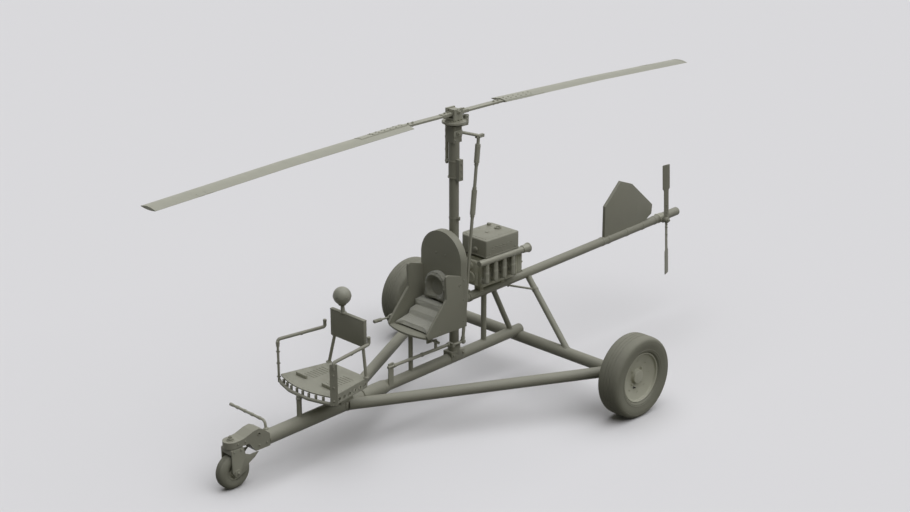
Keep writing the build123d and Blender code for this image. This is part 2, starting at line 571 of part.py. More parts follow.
# ---- rotor head ----
TOWER_Z = (MAST_TOP_Z, 2398)
PIVOT_Z = 2338
SPINDLE_R = 14
tower = block((-50, 50), (-46, 46), TOWER_Z)
tower = fillet(tower.edges().filter_by(Axis.Z), 10)
tower = tower + rod((6, -56, PIVOT_Z), (6, 56, PIVOT_Z), 13)
tower = tower + rod((0, 0, TOWER_Z[1]), (0, 0, 2414), 36) + rod((0, 0, 2414), (0, 0, 2452), SPINDLE_R)
save("rotor_head", tower)
arm = rod((-40, 22, 2340), (-196, ROD_Y, 2290), 13)
arm = arm + block((-262, -178), (ROD_Y - 13, ROD_Y + 13), (2268, 2294))
save("head_arm", (arm - tower - control_rod).solids().sort_by(SortBy.VOLUME)[-1])
HANGER_Y = -84
hanger = rod((0, HANGER_Y, 2072), (0, HANGER_Y, 2404), 13)
hanger = hanger + block((-14, 14), (HANGER_Y - 6, -20), (2330, 2356))
hanger = hanger + block((-12, 12), (HANGER_Y - 6, -20), (2084, 2106))
hanger = (hanger - tower - mast - sleeve).solids().sort_by(SortBy.VOLUME)[-1]
MOTOR_X = -136
motor = rod((MOTOR_X, 0, 2392), (MOTOR_X, 0, 2462), 24)
motor = motor + block((MOTOR_X - 14, -50), (-16, 16), (2376, 2392))
save("spin_drive", Compound([hanger, motor.solid()]))

# ---- main rotor ----
# the ring gear and teeter cheeks turn on the spindle, the bar and blades teeter between the cheeks
RING_R = 100
RING_GEAR_Z = (2422, 2438)
HUB_FLOOR_Z = 2468
CHEEK_X = 48
CHEEK_Z = 2545
CHEEK_Y = (34, 52)
TEETER_Z = 2520
TEETER_R = 9
hub = rod((0, 0, RING_GEAR_Z[0]), (0, 0, RING_GEAR_Z[1]), RING_R)
hub = hub + block((-CHEEK_X, CHEEK_X), (-CHEEK_Y[1], CHEEK_Y[1]), (RING_GEAR_Z[1], HUB_FLOOR_Z))
for sign in (-1, 1):
    low, high = sorted((sign * CHEEK_Y[0], sign * CHEEK_Y[1]))
    hub = hub + block((-CHEEK_X, CHEEK_X), (low, high), (HUB_FLOOR_Z, CHEEK_Z))
hub = hub - rod((0, 0, 2400), (0, 0, 2453), SPINDLE_R + 0.05)
hub = hub + rod((0, -CHEEK_Y[1] - 8, TEETER_Z), (0, CHEEK_Y[1] + 8, TEETER_Z), TEETER_R)
save("rotor_hub", hub.rotate(Axis.Z, ROTOR_YAW))

BAR_HALF_L = 700
BAR_Z = (2492, 2508)
teeter_block = block((-34, 34), (-CHEEK_Y[0] + 0.4, CHEEK_Y[0] - 0.4), (2480, 2538))
teeter_block = teeter_block - rod((0, -60, TEETER_Z), (0, 60, TEETER_Z), TEETER_R + 0.05)
bar = block((-BAR_HALF_L, BAR_HALF_L), (-30, 30), BAR_Z)
save("hub_bar", (teeter_block + bar).rotate(Axis.Z, ROTOR_YAW))

BLADE_ROOT_X = 560


def blade_section(x, z):
    """The closed section of a blade at one station, leading edge to starboard."""
    lead = (x, -BLADE_CHORD * 0.34, z)
    trail_top = (x, BLADE_CHORD * 0.66, z + 1)
    trail_low = (x, BLADE_CHORD * 0.66, z - 1)
    upper = ThreePointArc(lead, (x, BLADE_CHORD * 0.04, z + BLADE_CHORD * 0.075), trail_top)
    lower = ThreePointArc(trail_low, (x, BLADE_CHORD * 0.06, z - BLADE_CHORD * 0.045), lead)
    return make_face([upper, Line(trail_top, trail_low), lower])


# columns: distance from the hub, drop below the hub bar's middle
BLADE_STATIONS = [(BLADE_ROOT_X, 0), (1800, 35), (ROTOR_RADIUS, BLADE_TIP_DROOP)]
blade = loft([blade_section(x, ROTOR_HUB_Z - drop) for x, drop in BLADE_STATIONS], ruled=True)
blade = blade - bar
save("blade_front", blade.rotate(Axis.Z, ROTOR_YAW))
save("blade_rear", blade.rotate(Axis.Z, 180 + ROTOR_YAW))
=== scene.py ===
"""A light open-frame gyrocopter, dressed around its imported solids.

Metres, with +X to the nose, +Y to port and +Z up. The origin is on the ground, straight below the mast.
"""

from math import cos, pi, radians, sin, sqrt, tau

import bmesh
import bpy
from mathutils import Matrix, Vector
from mathutils.bvhtree import BVHTree


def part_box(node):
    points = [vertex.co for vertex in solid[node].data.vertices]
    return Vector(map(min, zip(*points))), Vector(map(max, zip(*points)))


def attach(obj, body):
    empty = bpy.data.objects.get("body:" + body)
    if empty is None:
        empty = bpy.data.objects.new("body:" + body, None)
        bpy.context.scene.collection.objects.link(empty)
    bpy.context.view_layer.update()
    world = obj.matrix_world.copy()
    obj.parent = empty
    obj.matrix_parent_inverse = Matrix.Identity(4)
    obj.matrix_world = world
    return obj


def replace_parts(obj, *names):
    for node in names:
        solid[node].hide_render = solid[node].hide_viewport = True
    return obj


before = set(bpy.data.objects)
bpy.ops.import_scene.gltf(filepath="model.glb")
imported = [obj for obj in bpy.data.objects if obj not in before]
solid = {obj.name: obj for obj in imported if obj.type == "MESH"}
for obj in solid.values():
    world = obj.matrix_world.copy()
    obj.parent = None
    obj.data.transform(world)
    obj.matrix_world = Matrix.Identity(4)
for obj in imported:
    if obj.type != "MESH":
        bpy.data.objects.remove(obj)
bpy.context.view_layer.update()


# ---- Studio ----
# A plain pale floor under the parked machine. One very broad soft lamp stands high on the port side, a faint
# sky and two weak lamps fill the shade. Floor and sky throw back less light than the camera and gloss see.
def node_in(tree, kind, sockets=(), **settings):
    """Adds a shader node, sets its properties, and fills its inputs with values or links."""
    node = tree.nodes.new("ShaderNode" + kind)
    for key, value in settings.items():
        setattr(node, key, value)
    for key, value in dict(sockets).items():
        if isinstance(value, bpy.types.NodeSocket):
            tree.links.new(value, node.inputs[key])
        else:
            node.inputs[key].default_value = value
    return node


def worked_out(tree, operation, first, second=0.0, clamp=False):
    """The result of one step of arithmetic on values or links."""
    return node_in(tree, "Math", {0: first, 1: second}, operation=operation, use_clamp=clamp).outputs[0]


def dim_but_shown_pale(tree, dim, pale):
    """The pale shader where the camera, a gloss or glass looks, and the dim one for light that bounces on."""
    ray = node_in(tree, "LightPath").outputs
    camera_or_gloss = worked_out(tree, "MAXIMUM", ray["Is Camera Ray"], ray["Is Glossy Ray"])
    seen = worked_out(tree, "MAXIMUM", camera_or_gloss, ray["Is Transmission Ray"])
    return node_in(tree, "MixShader", {0: seen, 1: dim.outputs[0], 2: pale.outputs[0]}).outputs[0]


FLOOR_SIZE = 160
FLOOR_PALE = (0.72, 0.71, 0.66, 1)
FLOOR_DIM = (0.10, 0.098, 0.090, 1)
floor_paint = bpy.data.materials.new("pale floor")
floor_paint.use_nodes = True
floor_tree = floor_paint.node_tree
floor_tree.nodes.clear()
dim_floor = node_in(floor_tree, "BsdfDiffuse", {"Color": FLOOR_DIM})
pale_floor = node_in(floor_tree, "BsdfDiffuse", {"Color": FLOOR_PALE})
node_in(floor_tree, "OutputMaterial", {"Surface": dim_but_shown_pale(floor_tree, dim_floor, pale_floor)})
bpy.ops.mesh.primitive_plane_add(size=FLOOR_SIZE, location=(0, 0, 0))
floor = bpy.context.object
floor.name = "floor"
floor.data.materials.append(floor_paint)

SKY_COLOUR = (0.97, 0.98, 1.0, 1)
SKY_STRENGTH = 0.08
SKY_SHOWN = (0.71, 0.71, 0.71, 1)
sky = bpy.data.worlds.new("studio sky")
sky.use_nodes = True
sky_tree = sky.node_tree
sky_glow = sky_tree.nodes["Background"]
sky_glow.inputs["Color"].default_value = SKY_COLOUR
sky_glow.inputs["Strength"].default_value = SKY_STRENGTH
sky_shown = node_in(sky_tree, "Background", {"Color": SKY_SHOWN})
sky_tree.links.new(dim_but_shown_pale(sky_tree, sky_glow, sky_shown),
                   sky_tree.nodes["World Output"].inputs["Surface"])
bpy.context.scene.world = sky
# columns: name, direction to the lamp, strength, colour, softness in degrees
LAMPS = [("broad lamp", (-0.15, 0.21, 0.97), 2.85, (0.99, 1.0, 1.12), 90),
         ("port side fill", (0.0, 0.98, 0.15), 0.14, (1.0, 0.97, 0.74), 60),
         ("starboard side fill", (-0.40, -0.91, 0.12), 0.20, (1.0, 0.97, 0.74), 60)]
for lamp_name, towards, strength, tint, softness in LAMPS:
    lamp_data = bpy.data.lights.new(lamp_name, "SUN")
    lamp_data.energy = strength
    lamp_data.color = tint
    lamp_data.angle = radians(softness)
    lamp = bpy.data.objects.new(lamp_name, lamp_data)
    lamp.rotation_euler = Vector(towards).to_track_quat("Z", "Y").to_euler()
    bpy.context.scene.collection.objects.link(lamp)

# the camera stands ahead to port and looks a little down on the machine
IMAGE_WIDTH = 910
FOCAL_PIXELS = 1698
SENSOR_WIDTH = 36
CAMERA_AT = (9.4085, 9.4200, 6.0495)
LOOKS_DOWN = radians(19.74)
camera_data = bpy.data.cameras.new("camera")
camera_data.lens = FOCAL_PIXELS / IMAGE_WIDTH * SENSOR_WIDTH
camera_data.sensor_width = SENSOR_WIDTH
camera = bpy.data.objects.new("camera", camera_data)
camera.location = CAMERA_AT
level = -cos(LOOKS_DOWN) / sqrt(2)
camera.rotation_euler = Vector((level, level, -sin(LOOKS_DOWN))).to_track_quat("-Z", "Y").to_euler()
bpy.context.scene.collection.objects.link(camera)
bpy.context.scene.camera = camera
bpy.context.scene.view_settings.view_transform = "Standard"


# ---- Welded chassis: keel, cross axle and drag braces ----
# Drawn steel tube, welded at the joints and sprayed with a satin warm-grey paint. The paint is thin and dull
# on the edges, holds a little dust on top, and shows a ripple of weld where one tube meets another.
def shader_group(name, inputs, outputs):
    """An empty shader group with its named sockets; inputs carry their usual value."""
    tree = bpy.data.node_groups.new(name, "ShaderNodeTree")
    kinds = {float: "NodeSocketFloat", tuple: "NodeSocketColor"}
    for label, usual in inputs.items():
        socket = tree.interface.new_socket(label, in_out="INPUT", socket_type=kinds[type(usual)])
        socket.default_value = usual
    for label, kind in outputs.items():
        tree.interface.new_socket(label, in_out="OUTPUT", socket_type=kinds[kind])
    return tree, tree.nodes.new("NodeGroupInput").outputs, tree.nodes.new("NodeGroupOutput").inputs


def noise_in(tree, scale, detail, roughness=0.5):
    """Noise that is fixed to the piece, from 0 to 1."""
    place = node_in(tree, "TexCoord").outputs["Object"]
    return node_in(tree, "TexNoise", {"Vector": place, "Scale": scale, "Detail": detail,
                                      "Roughness": roughness}).outputs[0]


def ramp_in(tree, value, start, end):
    """0 up to a start value, 1 from an end value, and a straight run between them."""
    return node_in(tree, "MapRange", {"Value": value, "From Min": start, "From Max": end}).outputs[0]


# cloudy film: the slow and fine changes of tone that a sprayed or cast surface has
film, film_in, film_out = shader_group(
    "cloudy film", {"Colour": (0.5, 0.5, 0.5, 1.0), "Depth": 0.1, "Patch size": 0.25, "Roughness": 0.5},
    {"Colour": tuple, "Roughness": float})
patches = noise_in(film, worked_out(film, "DIVIDE", 1.0, film_in["Patch size"]), 4.0, 0.55)
specks = noise_in(film, 210.0, 2.0)
swing = worked_out(film, "SUBTRACT", worked_out(film, "ADD", patches, specks), 1.0)
deepened = worked_out(film, "MULTIPLY", swing, film_in["Depth"])
toned = node_in(film, "VectorMath", {0: film_in["Colour"], "Scale": worked_out(film, "ADD", deepened, 1.0)},
                operation="SCALE")
film.links.new(toned.outputs[0], film_out["Colour"])
film.links.new(worked_out(film, "ADD", deepened, film_in["Roughness"]), film_out["Roughness"])

# edge wear: finds convex edges by rounding the normal, and breaks the line of wear up with noise
rubbed, rubbed_in, rubbed_out = shader_group("edge wear", {"Width": 0.003, "Amount": 0.5}, {"Mask": float})
round_normal = node_in(rubbed, "Bevel", {"Radius": rubbed_in["Width"]}, samples=4).outputs[0]
true_normal = node_in(rubbed, "NewGeometry").outputs["Normal"]
likeness = node_in(rubbed, "VectorMath", {0: round_normal, 1: true_normal}, operation="DOT_PRODUCT")
on_edge = ramp_in(rubbed, likeness.outputs["Value"], 0.995, 0.88)
chips = ramp_in(rubbed, noise_in(rubbed, 46.0, 5.0, 0.7), 0.42, 0.62)
worn = worked_out(rubbed, "MULTIPLY", worked_out(rubbed, "MULTIPLY", on_edge, chips), rubbed_in["Amount"])
rubbed.links.new(worn, rubbed_out["Mask"])

# settled dust: lies on what faces up, in patches
settled, settled_in, settled_out = shader_group("settled dust", {"Amount": 0.3}, {"Mask": float})
facing = node_in(settled, "SeparateXYZ", {0: node_in(settled, "NewGeometry").outputs["Normal"]}).outputs
upward = ramp_in(settled, facing["Z"], 0.25, 1.0)
drifted = ramp_in(settled, noise_in(settled, 9.0, 6.0, 0.65), 0.38, 0.75)
dusty = worked_out(settled, "MULTIPLY", worked_out(settled, "MULTIPLY", upward, drifted),
                   settled_in["Amount"])
settled.links.new(dusty, settled_out["Mask"])

# peel: the fine orange-peel of sprayed paint, or the coarser skin of a casting
peel, peel_in, peel_out = shader_group("peel", {"Size": 0.003}, {"Height": float})
peel.links.new(noise_in(peel, worked_out(peel, "DIVIDE", 1.0, peel_in["Size"]), 3.0), peel_out["Height"])

DUST = (0.31, 0.30, 0.235, 1)
GLOSS = 0.22


def coat_of(name, colour, rough, bare, metal=0.0, depth=0.14, patch=0.25, wear=0.55, wear_width=0.003,
            dust=0.3, skin=0.003, skin_depth=0.0003, height=None):
    """A finished surface: film of colour, worn edges that show what is under it, dust on top and a fine skin.

    metal is how metallic the surface is. At 0 only its worn edges are metal, and at None nothing is.
    """
    coat = bpy.data.materials.new(name)
    coat.use_nodes = True
    tree = coat.node_tree
    shader = tree.nodes["Principled BSDF"].inputs
    tone = node_in(tree, "Group", {"Colour": (*colour, 1), "Depth": depth, "Patch size": patch,
                                   "Roughness": rough}, node_tree=film).outputs
    edge = node_in(tree, "Group", {"Width": wear_width, "Amount": wear}, node_tree=rubbed).outputs[0]
    dirt = node_in(tree, "Group", {"Amount": dust}, node_tree=settled).outputs[0]
    rise = height(tree) if height else node_in(tree, "Group", {"Size": skin}, node_tree=peel).outputs[0]
    with_edge = node_in(tree, "Mix", {0: edge, 6: tone["Colour"], 7: (*bare, 1)}, data_type="RGBA").outputs[2]
    with_dust = node_in(tree, "Mix", {0: dirt, 6: with_edge, 7: DUST}, data_type="RGBA").outputs[2]
    tree.links.new(with_dust, shader["Base Color"])
    tree.links.new(worked_out(tree, "ADD", tone["Roughness"], dirt, clamp=True), shader["Roughness"])
    shader["Specular IOR Level"].default_value = GLOSS
    if metal:
        tree.links.new(worked_out(tree, "SUBTRACT", metal, dirt, clamp=True), shader["Metallic"])
    elif metal == 0:
        tree.links.new(edge, shader["Metallic"])
    bump = node_in(tree, "Bump", {"Strength": 1.0, "Distance": skin_depth, "Height": rise})
    tree.links.new(bump.outputs[0], shader["Normal"])
    return coat


def wear_on(coat, *nodes):
    """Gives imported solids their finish."""
    for node in nodes:
        solid[node].data.materials.clear()
        solid[node].data.materials.append(coat)


tube_paint = coat_of("satin tube paint", (0.275, 0.270, 0.200), 0.46, (0.330, 0.324, 0.244))
wear_on(tube_paint, "keel_tube", "cross_axle", "drag_braces")


def fitted(name, bm, body, coat, sharp=40):
    """Turns a built mesh into a piece that rides on a body and wears the finish it is given."""
    bmesh.ops.recalc_face_normals(bm, faces=bm.faces)
    mesh = bpy.data.meshes.new(name)
    bm.to_mesh(mesh)
    bm.free()
    mesh.shade_smooth()
    mesh.set_sharp_from_angle(angle=radians(sharp))
    mesh.materials.append(coat)
    piece = bpy.data.objects.new(name, mesh)
    bpy.context.scene.collection.objects.link(piece)
    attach(piece, body)
    return piece


UP = (0, 0, 1)
DOWN = (0, 0, -1)
AHEAD = (1, 0, 0)
ASTERN = (-1, 0, 0)
TO_PORT = (0, 1, 0)
TO_STARBOARD = (0, -1, 0)


def across(direction):
    """Two unit vectors square to a direction and to each other."""
    d = Vector(direction).normalized()
    u = d.cross(Vector(UP) if abs(d.z) < 0.9 else Vector(AHEAD)).normalized()
    return u, d.cross(u)


def round_about(count, offset=0.0):
    """Places evenly round a circle, as pairs of cosine and sine, starting a share of a step on."""
    return [(cos(tau * (k + offset) / count), sin(tau * (k + offset) / count)) for k in range(count)]


def ring_of(bm, centre, u, v, radius, steps):
    """A loop of points round a centre."""
    return [bm.verts.new(Vector(centre) + radius * (c * u + s * v)) for c, s in round_about(steps)]


def skin_between(bm, one, two):
    """Faces from one closed loop to the next."""
    n = len(one)
    for k in range(n):
        bm.faces.new((one[k], one[(k + 1) % n], two[(k + 1) % n], two[k]))


def turned(bm, profile, centre, direction, steps=32, closed=False):
    """A turned piece: stations of (radius, distance along) on an axis, with end caps or closed in a ring."""
    u, v = across(direction)
    d = Vector(direction).normalized()
    loops = [ring_of(bm, Vector(centre) + along * d, u, v, max(radius, 1e-5), steps)
             for radius, along in profile]
    for one, two in zip(loops, loops[1:]):
        skin_between(bm, one, two)
    if closed:
        skin_between(bm, loops[-1], loops[0])
    else:
        bm.faces.new(loops[0])
        bm.faces.new(loops[-1])


def bolted(bm, at, direction, across_flats=0.013, washer=True):
    """A hexagon head on a washer, with a chamfered top."""
    r = across_flats / sqrt(3)
    t = 0.12 * across_flats if washer else 0.0
    if washer:
        turned(bm, [(r * 1.55, -0.0006), (r * 1.55, t * 0.8), (r * 1.45, t)], at, direction, 20)
    turned(bm, [(r, t - 0.0002), (r, t + 0.52 * across_flats), (r * 0.86, t + 0.6 * across_flats)], at,
           direction, 6)
    turned(bm, [(r * 0.45, t + 0.5 * across_flats), (r * 0.45, t + 0.78 * across_flats),
                (r * 0.36, t + 0.82 * across_flats)], at, direction, 12)


def weld_round(bm, main, main_r, branch, branch_r, bead=0.005, steps=72):
    """A rippled bead where a branch tube runs into a main tube. It follows the true line where they meet.

    Each tube is a pair of points on its axis. Where the branch misses the main tube, the bead has a gap.
    """
    start, towards = Vector(branch[0]), Vector(branch[1])
    axis = (Vector(main[1]) - Vector(main[0])).normalized()
    d = (towards - start).normalized()
    u, v = across(d)
    line = []
    for k in range(steps):
        out = cos(tau * k / steps) * u + sin(tau * k / steps) * v
        p = start + branch_r * out - Vector(main[0])
        from_axis = p - p.dot(axis) * axis
        drift = d - d.dot(axis) * axis
        a, b, c = drift.dot(drift), 2 * from_axis.dot(drift), from_axis.dot(from_axis) - main_r ** 2
        inside = b * b - 4 * a * c
        line.append((start + branch_r * out + (-b - sqrt(inside)) / (2 * a) * d, out)
                    if inside >= 0 else None)
    loops = []
    for k, found in enumerate(line):
        if found is None:
            loops.append(None)
            continue
        at, out = found
        before = line[k - 1] or found
        after = line[(k + 1) % steps] or found
        side = (after[0] - before[0]).normalized().cross(out).normalized()
        loops.append(ring_of(bm, at, out, side, bead * (1 + 0.16 * cos(tau * k / 3)), 8))
    for k, one in enumerate(loops):
        two = loops[(k + 1) % steps]
        if one and two:
            skin_between(bm, one, two)
        elif one:
            bm.faces.new(one)
        if one and loops[k - 1] is None:
            bm.faces.new(one)


AXLE_X = -0.797
KEEL_NOSE = Vector((2.110, 0, 0.303))
KEEL_TAIL = Vector((AXLE_X, 0, 0.386))
KEEL = (KEEL_TAIL, KEEL_NOSE)
KEEL_FRONT_R = 0.060
KEEL_REAR_R = 0.048


def keel_at(x):
    """A point on the keel's centre line."""
    return KEEL_NOSE.lerp(KEEL_TAIL, (KEEL_NOSE.x - x) / (KEEL_NOSE.x - KEEL_TAIL.x))


AXLE_Z = 0.329
AXLE_HALF = 1.098
AXLE = (Vector((AXLE_X, 0, AXLE_Z)), Vector((AXLE_X, AXLE_HALF, AXLE_Z)))
AXLE_R = 0.052
DRAG_BRACE_R = 0.047
welds = bmesh.new()
for side in (1, -1):
    brace_outer = Vector((AXLE_X + 0.020, side * 1.093, AXLE_Z))
    brace_inner = keel_at(1.226) + Vector((0, side * 0.034, 0))
    weld_round(welds, AXLE, AXLE_R, (brace_inner, brace_outer), DRAG_BRACE_R)
    weld_round(welds, KEEL, KEEL_FRONT_R, (brace_outer, brace_inner), DRAG_BRACE_R)
weld_round(welds, AXLE, AXLE_R, (keel_at(0.5), keel_at(AXLE_X)), KEEL_REAR_R)
fitted("chassis_welds", welds, "frame", tube_paint, 60)

# a bolted clamp band behind the brace joint, with a pair of pinch bolts on each side
BAND_X = 1.055
keel_run = (KEEL_TAIL - KEEL_NOSE).normalized()
band = bmesh.new()
turned(band, [(0.0662, -0.013), (0.0685, -0.011), (0.0685, 0.011), (0.0662, 0.013)], keel_at(BAND_X),
       keel_run, 48)
for dx in (-0.008, 0.008):
    for side in (1, -1):
        bolted(band, keel_at(BAND_X) + Vector((dx, side * 0.0680, 0.012)), (0, side, 0.18), 0.010)
fitted("brace_band", band, "frame", tube_paint)
# a domed plug closes the keel's open tail end
plug = bmesh.new()
turned(plug, [(0.0465, 0.0), (0.0465, 0.004), (0.040, 0.008), (0.020, 0.0105), (0.004, 0.011)],
       keel_at(AXLE_X - 0.020), keel_run, 36)
fitted("keel_plug", plug, "frame", tube_paint)


# ---- Hub carriers and axle ends ----
# A flame-cut plate welded to each end of the cross axle carries the stub that the wheel turns on. The stub's
# flange has four set screws, and the tie-down lug above the axle has a turned bush on each face.
CARRIER_FACE_Y = 1.120
HUB_Z = 0.352
wear_on(tube_paint, "hub_carriers")
carriers = bmesh.new()
for side in (1, -1):
    turned(carriers, [(0.0525, 0.0), (0.0585, 0.0), (0.057, 0.0045), (0.0525, 0.007)],
           (AXLE_X, side * AXLE_HALF, AXLE_Z), (0, -side, 0), 48, closed=True)
    turned(carriers, [(0.060, 0.0), (0.060, 0.010), (0.057, 0.013), (0.034, 0.014), (0.0255, 0.030),
                      (0.0252, 0.031)], (AXLE_X, side * CARRIER_FACE_Y, HUB_Z), (0, side, 0), 40)
    for end in (1, -1):
        turned(carriers, [(0.0082, 0.0), (0.0135, 0.0), (0.013, 0.0028), (0.0088, 0.003)],
               (AXLE_X + end * 0.014, side * 1.076, 0.424), (end, 0, 0), 24, closed=True)
    for c, s in round_about(4, 0.5):
        bolted(carriers, (AXLE_X + 0.047 * c, side * (CARRIER_FACE_Y + 0.0125), HUB_Z + 0.047 * s),
               (0, side, 0), 0.010, washer=False)
fitted("hub_flanges", carriers, "frame", tube_paint)


# ---- Main wheels ----
# Wide, low-pressure tyres on spun alloy discs. The tread is a broad, nearly smooth band with a bevel down to
# the side wall. The disc is a shallow dish with a hub cap, four nuts, eight eyelet rings and a valve.
rubber = coat_of("grey tyre rubber", (0.222, 0.219, 0.160), 0.72, (0.240, 0.234, 0.173), metal=None,
                 depth=0.18, patch=0.12, wear=0.35, wear_width=0.006, dust=0.45, skin=0.0016,
                 skin_depth=0.00035)
alloy = coat_of("dull spun alloy", (0.419, 0.414, 0.310), 0.42, (0.445, 0.438, 0.335), metal=0.12, depth=0.10,
                patch=0.10, wear=0.5, wear_width=0.0025, dust=0.25, skin=0.0014, skin_depth=0.00012)


def rounded_profile(corners):
    """A (radius, offset, corner radius) outline with its corners rounded by short arcs of four steps."""
    out = []
    last = len(corners) - 1
    for k, (r, w, fillet) in enumerate(corners):
        here = Vector((r, w))
        if fillet <= 0 or k in (0, last):
            out.append((r, w))
            continue
        back = Vector(corners[k - 1][:2]) - here
        on = Vector(corners[k + 1][:2]) - here
        one = here + back.normalized() * min(fillet, 0.45 * back.length)
        two = here + on.normalized() * min(fillet, 0.45 * on.length)
        for t in (0.0, 0.25, 0.5, 0.75, 1.0):
            out.append(tuple((1 - t) ** 2 * one + 2 * t * (1 - t) * here + t * t * two))
    return out


def mirrored(half):
    """The other half of an outline, in running order."""
    return [(r, -w, *rest) for r, w, *rest in reversed(half)]


def grooved(tread_r, grooves, depth, lip, root):
    """The corners of a tread's grooves. Lip and root are half a groove's width at the top and the bottom."""
    out = []
    for groove in grooves:
        out += [(tread_r, groove + lip), (tread_r - depth, groove + root), (tread_r - depth, groove - root),
                (tread_r, groove - lip)]
    return out


TYRE_R = HUB_Z
TYRE_HALF_W = 0.108
WHEEL_Y = 1.312
# columns: radius, offset along the axle, corner rounding; half of the outline, bead to shoulder
TYRE_SIDE = [(0.2165, 0.080, 0), (0.228, 0.0955, 0.006), (0.262, 0.1020, 0.015), (0.300, TYRE_HALF_W, 0.016),
             (0.334, 0.1025, 0.014), (0.349, 0.080, 0.012), (0.3515, 0.050, 0.006), (TYRE_R, 0.043, 0)]
half_tyre = rounded_profile(TYRE_SIDE)
tread = grooved(TYRE_R, (0.030, 0.0, -0.030), 0.0026, 0.0024, 0.0014)
tyre_outline = half_tyre + tread + mirrored(half_tyre)
# columns: radius, offset outboard, corner rounding; the face is a shallow dish round a sunk hub
DISC_OUTLINE = [(0.0256, 0.0535, 0), (0.0575, 0.0535, 0.004), (0.0640, 0.0270, 0.006),
                (0.100, 0.0325, 0.010), (0.130, 0.0375, 0.012), (0.180, 0.0540, 0.014),
                (0.1985, 0.0610, 0.006), (0.2035, 0.0795, 0.003), (0.2100, 0.0840, 0.003),
                (0.2158, 0.0800, 0), (0.2158, -0.0800, 0), (0.2100, -0.0840, 0.003),
                (0.2025, -0.0790, 0.003), (0.1900, 0.0330, 0.014), (0.120, 0.0150, 0.012),
                (0.0490, 0.0020, 0.008), (0.0445, -0.0670, 0.003), (0.0256, -0.0675, 0)]
valve_rubber = coat_of("valve rubber", (0.055, 0.054, 0.048), 0.6, (0.09, 0.088, 0.08), depth=0.05, wear=0.1,
                       dust=0.1)
for side_name, side in (("port", 1), ("starboard", -1)):
    body = f"wheel_{side_name}"
    hub = Vector((AXLE_X, side * WHEEL_Y, HUB_Z))
    outward = (0, side, 0)
    tyre = bmesh.new()
    turned(tyre, tyre_outline, hub, outward, 144, closed=True)
    # mould rings on both side walls
    for w_side in (1, -1):
        turned(tyre, [(0.240, w_side * 0.0962), (0.243, w_side * 0.1000), (0.247, w_side * 0.1008),
                      (0.250, w_side * 0.0985)], hub, outward, 144, closed=True)
        turned(tyre, [(0.314, w_side * 0.1040), (0.317, w_side * 0.1066), (0.320, w_side * 0.1058),
                      (0.317, w_side * 0.1020)], hub, outward, 144, closed=True)
    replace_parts(fitted(f"main_tyre_{side_name}", tyre, body, rubber, 32), f"tyre_{side_name}")

    disc = bmesh.new()
    turned(disc, rounded_profile(DISC_OUTLINE), hub, outward, 96, closed=True)
    turned(disc, [(0.0570, 0.0520), (0.0570, 0.0555), (0.0540, 0.0585), (0.0400, 0.0605), (0.0200, 0.0615),
                  (0.0060, 0.0618)], hub, outward, 64)
    for c, s in round_about(4, 0.5):
        bolted(disc, hub + Vector((0.083 * c, side * 0.0300, 0.083 * s)), outward, 0.015)
    for c, s in round_about(8):
        spoke = Vector((c, 0, s))
        turned(disc, [(0.0085, -0.003), (0.0095, 0.0018), (0.0078, 0.0028), (0.0064, 0.0010),
                      (0.0062, -0.003)], hub + spoke * 0.138 + Vector((0, side * 0.0400, 0)),
               Vector(outward) - 0.28 * spoke, 24, closed=True)
    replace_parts(fitted(f"wheel_disc_{side_name}", disc, body, alloy, 34), f"rim_{side_name}")
    valve = bmesh.new()
    turned(valve, [(0.0100, -0.004), (0.0100, 0.0020), (0.0070, 0.0055), (0.0046, 0.0065), (0.0046, 0.0120),
                   (0.0054, 0.0130), (0.0054, 0.0190), (0.0040, 0.0205)],
           hub + Vector((0.031, side * 0.0325, -0.093)), (0, side, 0.2), 20)
    fitted(f"valve_{side_name}", valve, body, valve_rubber)


# ---- Steering head, nose fork and nose wheel ----
# The head is a folded steel box welded under the keel's nose; the king pin runs through it in two bushes. The
# fork's swept plates carry a small tyre on a two-piece rim.
def rolled_over(bm, edges, roll, segments):
    """Rounds edges off."""
    bmesh.ops.bevel(bm, geom=edges, offset=roll, offset_type="OFFSET", segments=segments, profile=0.5,
                    affect="EDGES", clamp_overlap=True)


def softened(node, roll, segments=2):
    """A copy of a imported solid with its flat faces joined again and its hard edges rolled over."""
    bm = bmesh.new()
    bm.from_mesh(solid[node].data)
    bmesh.ops.remove_doubles(bm, verts=bm.verts, dist=2e-6)
    bmesh.ops.dissolve_limit(bm, angle_limit=radians(1.2), verts=bm.verts, edges=bm.edges)
    hard = [e for e in bm.edges if len(e.link_faces) == 2 and e.calc_face_angle(0) > radians(32)]
    rolled_over(bm, hard, roll, segments)
    return bm


def bolted_each_side(bm, y, places, across_flats):
    """Bolt heads to port and to starboard, so far from the middle, at places given as (x, z)."""
    for side in (1, -1):
        for x, z in places:
            bolted(bm, (x, side * y, z), (0, side, 0), across_flats)


HEAD_HALF_W = 0.062
KING_PIN_X = 2.392
wear_on(tube_paint, "steering_head")
head_trim = bmesh.new()
bolted_each_side(head_trim, HEAD_HALF_W, ((2.090, 0.300), (2.165, 0.300), (2.300, 0.376), (2.370, 0.376)),
                 0.011)
for side in (1, -1):
    turned(head_trim, [(0.0102, 0.0), (0.0170, 0.0), (0.0165, 0.004), (0.0108, 0.0042)],
           (2.166, side * HEAD_HALF_W, 0.396), (0, side, 0), 28, closed=True)
turned(head_trim, [(0.0245, 0.0), (0.034, 0.0), (0.033, 0.004), (0.0250, 0.0045)], (KING_PIN_X, 0, 0.400),
       UP, 40, closed=True)
turned(head_trim, [(0.0600, 0.0), (0.0670, 0.0), (0.0655, 0.005), (0.0605, 0.0075)], keel_at(2.0600),
       keel_run, 56, closed=True)
fitted("steering_head_trim", head_trim, "frame", tube_paint)

